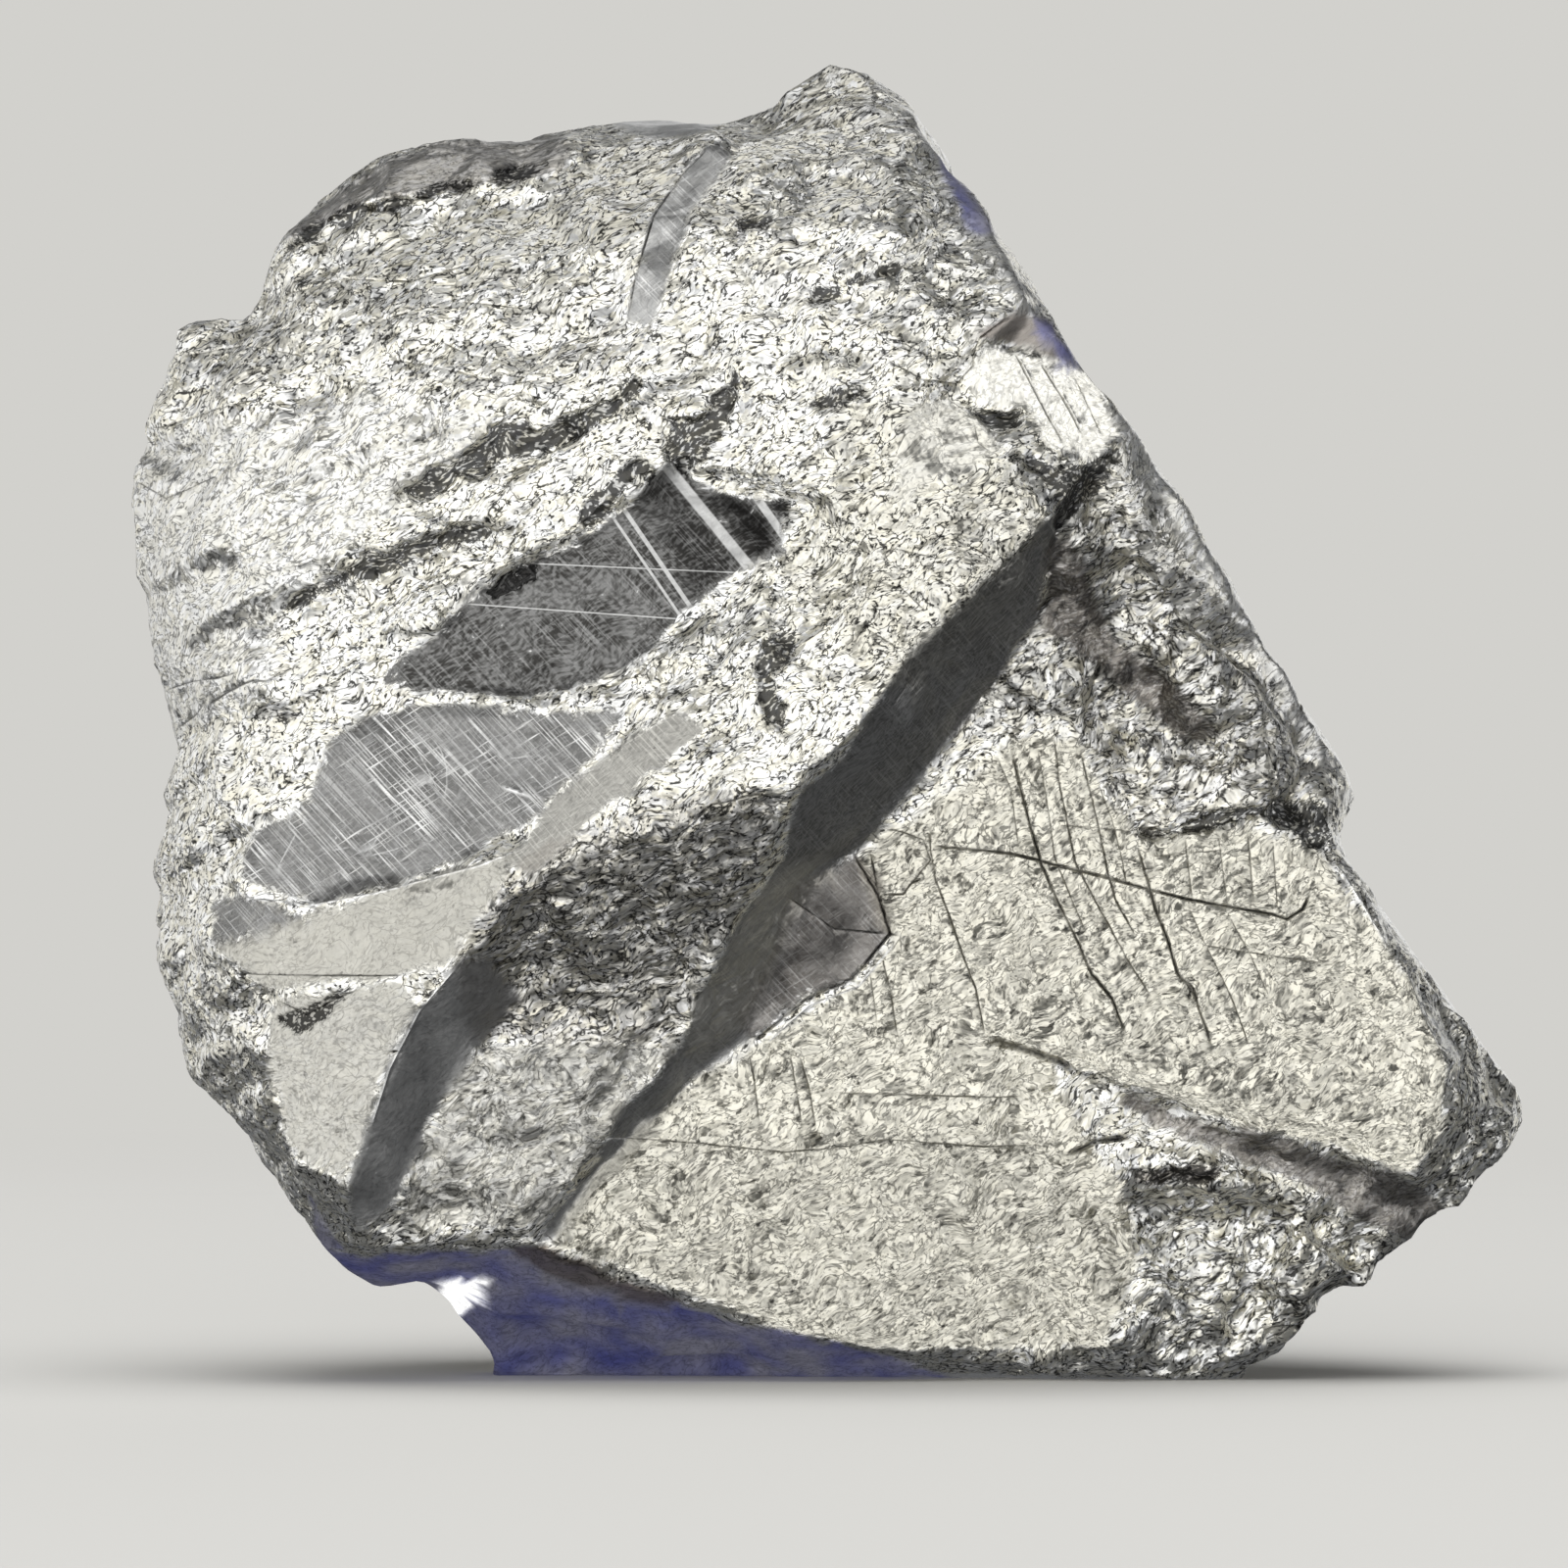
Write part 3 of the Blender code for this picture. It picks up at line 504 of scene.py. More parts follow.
def relief_tree():
    """Raises chips, grains and folds where the ground is rough, and domes where it is coarse."""
    tree = open_tree("Hackly relief", RELIEF)
    given = add_node(tree, "NodeGroupInput").outputs
    place = add_node(tree, "GeometryNodeInputPosition").outputs[0]
    normal = add_node(tree, "GeometryNodeInputNormal").outputs[0]
    rough = add_node(tree, "GeometryNodeInputNamedAttribute", {"Name": "rough"}, data_type="FLOAT").outputs[0]
    coarse = add_node(tree, "GeometryNodeInputNamedAttribute", {"Name": "coarse"},
                      data_type="FLOAT").outputs[0]

    # A slow bend, then a turn to the way the lump splits: what is drawn along it comes out long and wavy.
    bend = add_node(tree, "ShaderNodeTexNoise", {"Vector": place, "Scale": 0.28 / MM, "Detail": 1.0})
    centred = add_node(tree, "ShaderNodeVectorMath", {0: bend.outputs["Color"], 1: HALF},
                       operation="SUBTRACT").outputs[0]
    pushed = add_node(tree, "ShaderNodeVectorMath", {0: centred, 3: 2.2 * MM}, operation="SCALE").outputs[0]
    bent = add_node(tree, "ShaderNodeVectorMath", {0: place, 1: pushed}, operation="ADD").outputs[0]
    turned = add_node(tree, "ShaderNodeVectorRotate", {"Vector": bent, "Angle": FLOW},
                      rotation_type="Y_AXIS").outputs[0]
    drawn = add_node(tree, "ShaderNodeVectorMath", {0: turned, 1: (0.42, 1.0, 1.0)},
                     operation="MULTIPLY").outputs[0]

    def leaning_cells(size, lean, shift):
        """Height of a random plane in each cell: the offset from its middle, along a random direction."""
        moved = add_node(tree, "ShaderNodeVectorMath", {0: drawn, 1: shift}, operation="ADD").outputs[0]
        scale = add_node(tree, "ShaderNodeMath", {0: 1.0, 1: size}, operation="DIVIDE").outputs[0]
        cells = add_node(tree, "ShaderNodeTexVoronoi", {"Vector": moved, "Scale": scale})
        reach = add_node(tree, "ShaderNodeVectorMath", {0: moved, 1: cells.outputs["Position"]},
                         operation="SUBTRACT").outputs[0]
        tilt = add_node(tree, "ShaderNodeVectorMath", {0: cells.outputs["Color"], 1: HALF},
                        operation="SUBTRACT").outputs[0]
        height = add_node(tree, "ShaderNodeVectorMath", {0: reach, 1: tilt},
                          operation="DOT_PRODUCT").outputs["Value"]
        doubled = add_node(tree, "ShaderNodeMath", {0: lean, 1: 2.0}, operation="MULTIPLY").outputs[0]
        return add_node(tree, "ShaderNodeMath", {0: height, 1: doubled}, operation="MULTIPLY").outputs[0]

    chips = leaning_cells(given["Chip size"], given["Chip lean"], (0.013, 0.027, 0.031))
    grains = leaning_cells(given["Grain size"], given["Grain lean"], (0.041, 0.003, 0.017))

    # Folds: a smooth wave, turned up wherever it crosses its middle, which leaves a sharp valley there.
    fold_scale = add_node(tree, "ShaderNodeMath", {0: 1.0, 1: given["Fold size"]},
                          operation="DIVIDE").outputs[0]
    wave = add_node(tree, "ShaderNodeTexNoise",
                    {"Vector": drawn, "Scale": fold_scale, "Detail": 2.0}).outputs[0]
    level = add_node(tree, "ShaderNodeMath", {0: wave, 1: 0.5}, operation="SUBTRACT").outputs[0]
    valley = add_node(tree, "ShaderNodeMath", {0: level}, operation="ABSOLUTE").outputs[0]
    lowered = add_node(tree, "ShaderNodeMath", {0: valley, 1: 0.1}, operation="SUBTRACT").outputs[0]
    folds = add_node(tree, "ShaderNodeMath", {0: lowered, 1: given["Fold relief"]},
                     operation="MULTIPLY").outputs[0]

    # Domes: rounded lumps round random middles, where the ground is coarse.
    blob_scale = add_node(tree, "ShaderNodeMath", {0: 1.0, 1: given["Blob size"]},
                          operation="DIVIDE").outputs[0]
    blobs = add_node(tree, "ShaderNodeTexVoronoi", {"Vector": bent, "Scale": blob_scale}).outputs["Distance"]
    domes = add_node(tree, "ShaderNodeMath", {0: 0.35, 1: blobs}, operation="SUBTRACT").outputs[0]
    for share in (given["Blob relief"], coarse):
        domes = add_node(tree, "ShaderNodeMath", {0: domes, 1: share}, operation="MULTIPLY").outputs[0]

    both = add_node(tree, "ShaderNodeMath", {0: chips, 1: grains}, operation="ADD").outputs[0]
    every = add_node(tree, "ShaderNodeMath", {0: both, 1: folds}, operation="ADD").outputs[0]
    shared = add_node(tree, "ShaderNodeMath", {0: every, 1: rough, 2: domes},
                      operation="MULTIPLY_ADD").outputs[0]
    move = add_node(tree, "ShaderNodeVectorMath", {0: normal, 3: shared}, operation="SCALE").outputs[0]
    moved = add_node(tree, "GeometryNodeSetPosition",
                     {"Geometry": given["Geometry"], "Offset": move}).outputs[0]
    real = add_node(tree, "GeometryNodeRealizeInstances", {0: moved}).outputs[0]
    done = add_node(tree, "GeometryNodeSetMaterial",
                    {"Geometry": real, "Material": given["Material"]}).outputs[0]
    add_node(tree, "NodeGroupOutput", {0: done})
    return tree


# %% [markdown]
# ## The metal
# Pyrite is a pale brass-yellow metallic mineral. Freshly broken it is nearly silver. A glance at it shows
# a sheet of crumpled foil rather than one gloss: mostly bright, with thin dark lines where small plates
# meet. The plates are a third of a millimetre across, too many to raise as relief. So the shader leans the
# surface a little in each plate, drawn out along the way the lump split, and paints the lines between
# darker, as painted shade.

# %% Colours and sizes of the metal's grain
def colour(hexcode):
    """An sRGB hex colour as the linear values that Blender works in."""
    parts = [int(hexcode[i:i + 2], 16) / 255 for i in (1, 3, 5)]
    return tuple(p / 12.92 if p <= 0.04045 else ((p + 0.055) / 1.055) ** 2.4 for p in parts) + (1.0,)


SILVER = "#E6E6E4"
WARM_SILVER = "#E6E2D2"
BRASS = "#DAD6C6"
# The dark film: partly tarnish, partly painted shade.
FILM_AND_SHADE = "#3A3937"
GREY_VIOLET = "#9C9BAE"
BLUE_VIOLET = "#6468AA"
BROWN = "#7A6C5E"
# Painted shade and painted shadow: cracks, hollows, the lines between plates and the dark mirror cells go
# towards this colour.
PAINTED_SHADE = "#100F0F"
WRINKLE = 0.40  # mm, width of a wrinkle of the foil
TICK = 0.17  # mm, width of the fine dark ticks between plates
CELL = 0.30  # mm, width of a leaning plate
SCALE_SIZE = 0.50  # mm, width of the larger scales, each with a dark rim
DRAWN_OUT = 1.9  # how many times as long as wide the grain is, along the way the lump split
SLOW_BENDS = 420.0  # per metre, the slow noise that bends the grain and clouds the films


# %% Noises that all the grain is made of
def grain_textures(tree):
    """The noises of the metal's grain, by name, over places bent slowly and drawn out along the split."""
    place = add_node(tree, "ShaderNodeTexCoord").outputs["Object"]
    slow = add_node(tree, "ShaderNodeTexNoise", {"Vector": place, "Scale": SLOW_BENDS, "Detail": 1.0})
    middle = add_node(tree, "ShaderNodeVectorMath", {0: slow.outputs["Color"], 1: HALF},
                      operation="SUBTRACT").outputs[0]
    push = add_node(tree, "ShaderNodeVectorMath", {0: middle, 3: 1.7 * MM}, operation="SCALE").outputs[0]
    bent = add_node(tree, "ShaderNodeVectorMath", {0: place, 1: push}, operation="ADD").outputs[0]
    drawn = add_node(tree, "ShaderNodeMapping", {
        "Vector": bent, "Rotation": (0.0, -FLOW, 0.0), "Scale": (DRAWN_OUT * MM, MM, MM),
    }, vector_type="TEXTURE").outputs[0]
    wrinkles = add_node(tree, "ShaderNodeTexNoise", {"Vector": drawn, "Scale": 1.0 / WRINKLE, "Detail": 2.0})
    ticks = add_node(tree, "ShaderNodeTexNoise", {"Vector": drawn, "Scale": 1.0 / TICK, "Detail": 1.0})
    bends = add_node(tree, "ShaderNodeVectorMath", {0: wrinkles.outputs["Color"], 3: 0.55},
                     operation="SCALE").outputs[0]
    rippled = add_node(tree, "ShaderNodeVectorMath", {0: drawn, 1: bends}, operation="ADD").outputs[0]
    cells = add_node(tree, "ShaderNodeTexVoronoi", {"Vector": rippled, "Scale": 1.0 / CELL})
    rims = add_node(tree, "ShaderNodeTexVoronoi", {"Vector": rippled, "Scale": 1.0 / SCALE_SIZE},
                    feature="DISTANCE_TO_EDGE").outputs["Distance"]
    return {"place": place, "slow": slow.outputs[0], "slow lean": middle, "rims": rims,
            "wrinkles": wrinkles.outputs[0], "wrinkle lean": wrinkles.outputs["Color"],
            "ticks": ticks.outputs[0], "tick lean": ticks.outputs["Color"], "cell": cells.outputs["Color"]}


# %% [markdown]
# ## Crisp edges for shadows and films
# The dark film, partly painted shade, and the painted shadow under a ledge end at the edge of a plate, so
# their border is jagged. The shares on the mesh can only fade out softly, because its points lie too far
# apart. A finer mesh would show the border, but at many times the cost. So the shader adds the grain's own
# noise to the soft share, and cuts the sum at a level: the border then runs round the plates.

# %% Shadows and films, cut plate by plate
def jagged(tree, grain):
    """A noise that both borders follow, mostly below zero."""
    jag = add_node(tree, "ShaderNodeMath", {0: grain["ticks"], 1: 1.2, 2: -1.1},
                   operation="MULTIPLY_ADD").outputs[0]
    return add_node(tree, "ShaderNodeMath", {0: jag, 1: grain["wrinkles"]}, operation="ADD").outputs[0]


def shadow_share(tree, given, grain, jag):
    """How dark the shadow of a hollow is, with bright flecks left in it."""
    cut = add_node(tree, "ShaderNodeMath", {0: jag, 1: 1.3, 2: given["hollow"]},
                   operation="MULTIPLY_ADD").outputs[0]
    cut = add_node(tree, "ShaderNodeMapRange", {0: cut, 1: 0.40, 2: 0.56, 3: 0.0, 4: 0.93}).outputs[0]
    fleck = add_node(tree, "ShaderNodeMapRange",
                     {0: grain["ticks"], 1: 0.54, 2: 0.64, 3: 1.0, 4: 0.35}).outputs[0]
    return add_node(tree, "ShaderNodeMath", {0: cut, 1: fleck}, operation="MULTIPLY").outputs[0]


def film_and_shade_share(tree, given, grain, jag, outside_scratches_and_highlights):
    """How much dark film and painted shade lies on the metal: patchy at its border, mottled, scratched off,
    and cleared in painted glints.
    """
    patchy = add_node(tree, "ShaderNodeMath", {0: jag, 1: 1.1, 2: given["film_and_shade_reach"]},
                      operation="MULTIPLY_ADD").outputs[0]
    patchy = add_node(tree, "ShaderNodeMapRange", {0: patchy, 1: 0.40, 2: 0.56}).outputs[0]
    mottle = add_node(tree, "ShaderNodeMapRange",
                      {0: grain["ticks"], 1: 0.36, 2: 0.64, 3: 0.88, 4: 1.12}).outputs[0]
    cloud = add_node(tree, "ShaderNodeMapRange",
                     {0: grain["slow"], 1: 0.35, 2: 0.65, 3: 0.94, 4: 1.04}).outputs[0]
    # Painted glints: the film is taken off high plates of rough ground, so that they show bright.
    painted_glints = add_node(tree, "ShaderNodeMapRange",
                    {0: grain["ticks"], 1: 0.50, 2: 0.60, 3: 0.0, 4: 0.9}).outputs[0]
    painted_glints = add_node(tree, "ShaderNodeMath", {0: painted_glints, 1: given["rough"]}, operation="MULTIPLY").outputs[0]
    left = add_node(tree, "ShaderNodeMath", {0: 1.0, 1: painted_glints}, operation="SUBTRACT").outputs[0]
    film_and_shade = given["film_and_shade"]
    for share in (patchy, outside_scratches_and_highlights, mottle, cloud, left):
        film_and_shade = add_node(tree, "ShaderNodeMath", {0: film_and_shade, 1: share}, operation="MULTIPLY").outputs[0]
    return film_and_shade


# %% [markdown]
# ## Leaning plates
# What makes broken pyrite sparkle is that each plate mirrors another part of the room. A bump map would
# round the plates off. Adding a small lean to the surface's own direction, one for each cell of a random
# pattern, keeps them flat, and the same sum takes the soft leans of the wrinkles, the striations of the
# crystal faces and the turn that evens out a facet.

# %% The way each plate leans
CELL_LEAN, WRINKLE_LEAN, TICK_LEAN, SLOW_LEAN = 0.28, 0.62, 0.50, 0.13


def leaning_normal(tree, given, grain, held):
    """The surface's direction with every lean added, for the shader's Normal."""
    lean = None
    for name, strength in (("cell", CELL_LEAN), ("wrinkle lean", WRINKLE_LEAN), ("tick lean", TICK_LEAN)):
        one = add_node(tree, "ShaderNodeVectorMath", {0: grain[name], 1: HALF},
                       operation="SUBTRACT").outputs[0]
        one = add_node(tree, "ShaderNodeVectorMath", {0: one, 3: strength}, operation="SCALE").outputs[0]
        lean = one if lean is None else add_node(tree, "ShaderNodeVectorMath", {0: lean, 1: one},
                                                 operation="ADD").outputs[0]
    more = add_node(tree, "ShaderNodeMath", {0: given["coarse"], 1: 0.36, 2: held},
                    operation="MULTIPLY_ADD").outputs[0]
    more = add_node(tree, "ShaderNodeMath", {0: given["pale"], 1: 0.95, 2: more},
                    operation="MULTIPLY_ADD").outputs[0]
    lit = add_node(tree, "ShaderNodeMath", {0: given["hollow"], 1: -0.25, 2: 1.0},
                   operation="MULTIPLY_ADD").outputs[0]
    more = add_node(tree, "ShaderNodeMath", {0: more, 1: lit}, operation="MULTIPLY").outputs[0]
    lean = add_node(tree, "ShaderNodeVectorMath", {0: lean, 3: more}, operation="SCALE").outputs[0]
    slow_lean = add_node(tree, "ShaderNodeVectorMath", {0: grain["slow lean"], 3: SLOW_LEAN},
                         operation="SCALE").outputs[0]

    # Striations: a wave across each striated face, which leans the surface to and fro.
    wave = add_node(tree, "ShaderNodeMath", {0: given["stripe"], 1: 2.0 * math.pi},
                    operation="MULTIPLY").outputs[0]
    wave = add_node(tree, "ShaderNodeMath", {0: wave}, operation="SINE").outputs[0]
    stripe_lean = add_node(tree, "ShaderNodeAttribute", attribute_name="stripe lean").outputs["Vector"]
    waved = add_node(tree, "ShaderNodeVectorMath", {0: stripe_lean, 3: wave}, operation="SCALE").outputs[0]
    turn = add_node(tree, "ShaderNodeAttribute", attribute_name="turn").outputs["Vector"]
    normal = add_node(tree, "ShaderNodeNewGeometry").outputs["Normal"]
    for one in (slow_lean, waved, turn, normal):
        lean = add_node(tree, "ShaderNodeVectorMath", {0: lean, 1: one}, operation="ADD").outputs[0]
    return add_node(tree, "ShaderNodeVectorMath", {0: lean}, operation="NORMALIZE").outputs[0]


# %% Painted shade between the plates
def painted_crease_shade(tree, given, grain, held):
    """Painted shade between the plates: ticks where the fine noise is low, broken arcs along the wrinkles'
    middles, and rims of scales.
    """
    tick = add_node(tree, "ShaderNodeMapRange",
                    {0: grain["ticks"], 1: 0.33, 2: 0.39, 3: 1.0, 4: 0.0}).outputs[0]
    off_middle = add_node(tree, "ShaderNodeMath", {0: grain["wrinkles"], 1: 0.5},
                          operation="SUBTRACT").outputs[0]
    off_middle = add_node(tree, "ShaderNodeMath", {0: off_middle}, operation="ABSOLUTE").outputs[0]
    arc = add_node(tree, "ShaderNodeMapRange", {0: off_middle, 1: 0.008, 2: 0.030, 3: 1.0, 4: 0.0}).outputs[0]
    broken = add_node(tree, "ShaderNodeMapRange",
                      {0: grain["ticks"], 1: 0.44, 2: 0.52, 3: 1.0, 4: 0.0}).outputs[0]
    arc = add_node(tree, "ShaderNodeMath", {0: arc, 1: broken}, operation="MULTIPLY").outputs[0]
    wide = add_node(tree, "ShaderNodeMath", {0: given["coarse"], 1: 0.09, 2: 0.07},
                    operation="MULTIPLY_ADD").outputs[0]
    rim = add_node(tree, "ShaderNodeMapRange",
                   {0: grain["rims"], 1: 0.02, 2: wide, 3: 1.0, 4: 0.0}).outputs[0]
    kept = add_node(tree, "ShaderNodeMapRange",
                    {0: grain["wrinkles"], 1: 0.46, 2: 0.62, 3: 1.0, 4: 0.2}).outputs[0]
    rim = add_node(tree, "ShaderNodeMath", {0: rim, 1: kept}, operation="MULTIPLY").outputs[0]
    crease_shade = add_node(tree, "ShaderNodeMath", {0: tick, 1: arc}, operation="MAXIMUM").outputs[0]
    crease_shade = add_node(tree, "ShaderNodeMath", {0: crease_shade, 1: rim}, operation="MAXIMUM").outputs[0]
    for share in (held, 0.95):
        crease_shade = add_node(tree, "ShaderNodeMath", {0: crease_shade, 1: share}, operation="MULTIPLY").outputs[0]
    return crease_shade


# %% [markdown]
# ## Scratches and bars
# Fine scratches cross the filmed faces, and on the mirror face a few broad straight bars are painted
# highlights: bright lines of reflection, painted by taking the film and the painted shade off along them.
# Hundreds of scratches one by one would be slow. A noise drawn out until it is forty times as long as wide
# gives them all, where it is high. The bars have set places, so each point of the mesh carries its own
# distance from each bar, in half widths, and the shader keeps what lies between -1 and 1.

# %% Where the film is scratched off, and where the bars are painted highlights
SCRATCHED_WAYS = ((47.0, 4.2, 0.10, 0.0), (-31.0, 2.4, 0.09, 0.08))  # degrees, mm long, mm wide, fainter by


def scratch_and_highlight_share(tree, given, grain):
    """How bare the metal is: scratches along two directions that cross, and the bars as painted highlights.
    """
    scratch_and_highlight = None
    for degrees, length, width, fainter in SCRATCHED_WAYS:
        way = add_node(tree, "ShaderNodeMapping", {
            "Vector": grain["place"], "Rotation": (0.0, math.radians(degrees), 0.0),
            "Scale": (length * MM, length * MM, width * MM),
        }, vector_type="TEXTURE").outputs[0]
        one = add_node(tree, "ShaderNodeTexNoise", {"Vector": way, "Scale": 1.0, "Detail": 1.0}).outputs[0]
        one = add_node(tree, "ShaderNodeMath", {0: one, 1: fainter}, operation="SUBTRACT").outputs[0]
        scratch_and_highlight = one if scratch_and_highlight is None else add_node(tree, "ShaderNodeMath", {0: scratch_and_highlight, 1: one},
                                                       operation="MAXIMUM").outputs[0]
    scratch_and_highlight = add_node(tree, "ShaderNodeMapRange", {0: scratch_and_highlight, 1: 0.52, 2: 0.70, 3: 0.0, 4: 0.88}).outputs[0]
    thick = add_node(tree, "ShaderNodeMapRange",
                     {0: grain["slow"], 1: 0.40, 2: 0.58, 3: 0.3, 4: 1.0}).outputs[0]
    for share in (thick, given["scratched"]):
        scratch_and_highlight = add_node(tree, "ShaderNodeMath", {0: scratch_and_highlight, 1: share}, operation="MULTIPLY").outputs[0]
    for name in ("broad bars", "narrow bars"):
        across = add_node(tree, "ShaderNodeAttribute", attribute_name=name).outputs["Vector"]
        for measure in add_node(tree, "ShaderNodeSeparateXYZ", {0: across}).outputs:
            off = add_node(tree, "ShaderNodeMath", {0: measure}, operation="ABSOLUTE").outputs[0]
            bar = add_node(tree, "ShaderNodeMapRange", {0: off, 1: 0.9, 2: 1.2, 3: 0.52, 4: 0.0}).outputs[0]
            bar = add_node(tree, "ShaderNodeMath", {0: bar, 1: given["barred"]},
                           operation="MULTIPLY").outputs[0]
            scratch_and_highlight = add_node(tree, "ShaderNodeMath", {0: scratch_and_highlight, 1: bar}, operation="MAXIMUM").outputs[0]
    return scratch_and_highlight


# %% The colour of the metal, its film and tints, and the painted shade
def metal_colour(tree, given, grain, film_and_shade, dark):
    """Silver and brass, then the dark film with its painted shade, the brown and violet tints, and the
    painted shade of plate lines, cracks and hollows on top.
    """
    tint = add_node(tree, "ShaderNodeSeparateColor", {0: grain["cell"]}).outputs[1]
    warm = add_node(tree, "ShaderNodeMath", {0: tint, 1: given["rough"]}, operation="MULTIPLY").outputs[0]
    blue = add_node(tree, "ShaderNodeMapRange", {0: grain["slow"], 1: 0.35, 2: 0.72}).outputs[0]
    violet_tint = add_node(tree, "ShaderNodeMix", {0: blue, 6: colour(GREY_VIOLET), 7: colour(BLUE_VIOLET)},
                       data_type="RGBA").outputs[2]
    metal = colour(SILVER)
    for share, layer in (
        (warm, colour(WARM_SILVER)), (given["pale"], colour(BRASS)), (film_and_shade, colour(FILM_AND_SHADE)),
        (given["brown"], colour(BROWN)), (given["violet"], violet_tint), (dark, colour(PAINTED_SHADE)),
    ):
        metal = add_node(tree, "ShaderNodeMix", {0: share, 6: metal, 7: layer}, data_type="RGBA").outputs[2]
    return metal


# %% The pyrite material
# Numbers that the shader reads; the film, the painted dark and the hollows carry painted shade and painted
# shadow.
SHARES = ("rough", "painted_dark", "hollow", "film_and_shade", "film_and_shade_reach", "brown", "violet", "pale", "scratched", "coarse",
          "stripe", "barred")


def pyrite_material():
    """Natural pyrite, broken and part tarnished: bright crumpled plates, satin faces, a dark film that is
    partly painted shade, painted shadow in the hollows and painted shade in the cracks.
    """
    material = bpy.data.materials.new("natural pyrite, broken, part tarnished, with painted shade")
    material.use_nodes = True
    tree = material.node_tree
    shader = tree.nodes["Principled BSDF"]
    shader.inputs["Metallic"].default_value = 1.0
    given = {}
    for name in SHARES:
        given[name] = add_node(tree, "ShaderNodeAttribute", attribute_name=name).outputs["Fac"]
    grain = grain_textures(tree)
    held = add_node(tree, "ShaderNodeMath", {0: given["rough"], 1: 0.85, 2: 0.15},
                    operation="MULTIPLY_ADD").outputs[0]
    tree.links.new(leaning_normal(tree, given, grain, held), shader.inputs["Normal"])

    jag = jagged(tree, grain)
    scratch_and_highlight = scratch_and_highlight_share(tree, given, grain)
    outside_scratches_and_highlights = add_node(tree, "ShaderNodeMath", {0: 1.0, 1: scratch_and_highlight}, operation="SUBTRACT").outputs[0]
    # The dark film is partly painted shade.
    film_and_shade = film_and_shade_share(tree, given, grain, jag, outside_scratches_and_highlights)
    # Painted shade: the hollows' painted shadow, the painted dark of cracks and mirror cells, and the painted
    # shade between the plates all go towards one dark colour.
    dark = add_node(tree, "ShaderNodeMath", {0: shadow_share(tree, given, grain, jag), 1: given["painted_dark"]},
                    operation="MAXIMUM").outputs[0]
    dark = add_node(tree, "ShaderNodeMath", {0: dark, 1: outside_scratches_and_highlights}, operation="MULTIPLY").outputs[0]
    dark = add_node(tree, "ShaderNodeMath", {0: dark, 1: painted_crease_shade(tree, given, grain, held)},
                    operation="MAXIMUM").outputs[0]
    dark = add_node(tree, "ShaderNodeMath", {0: dark, 1: 0.98}, operation="MULTIPLY").outputs[0]
    tree.links.new(metal_colour(tree, given, grain, film_and_shade, dark), shader.inputs["Base Color"])

    gloss = add_node(tree, "ShaderNodeMath", {0: grain["wrinkles"], 1: 0.2, 2: 0.28},
                     operation="MULTIPLY_ADD").outputs[0]
    for share, duller in ((given["violet"], 0.2), (given["painted_dark"], 0.4)):
        gloss = add_node(tree, "ShaderNodeMath", {0: share, 1: duller, 2: gloss},
                         operation="MULTIPLY_ADD").outputs[0]
    tree.links.new(gloss, shader.inputs["Roughness"])
    return material


pyrite = pyrite_material()
print("material:", len(pyrite.node_tree.nodes), "nodes")


# %% The relief, run on the fine copy
lump = run_tree(lump, relief_tree(), RELIEF, pyrite)
print("relief:", len(lump.data.vertices), "points")
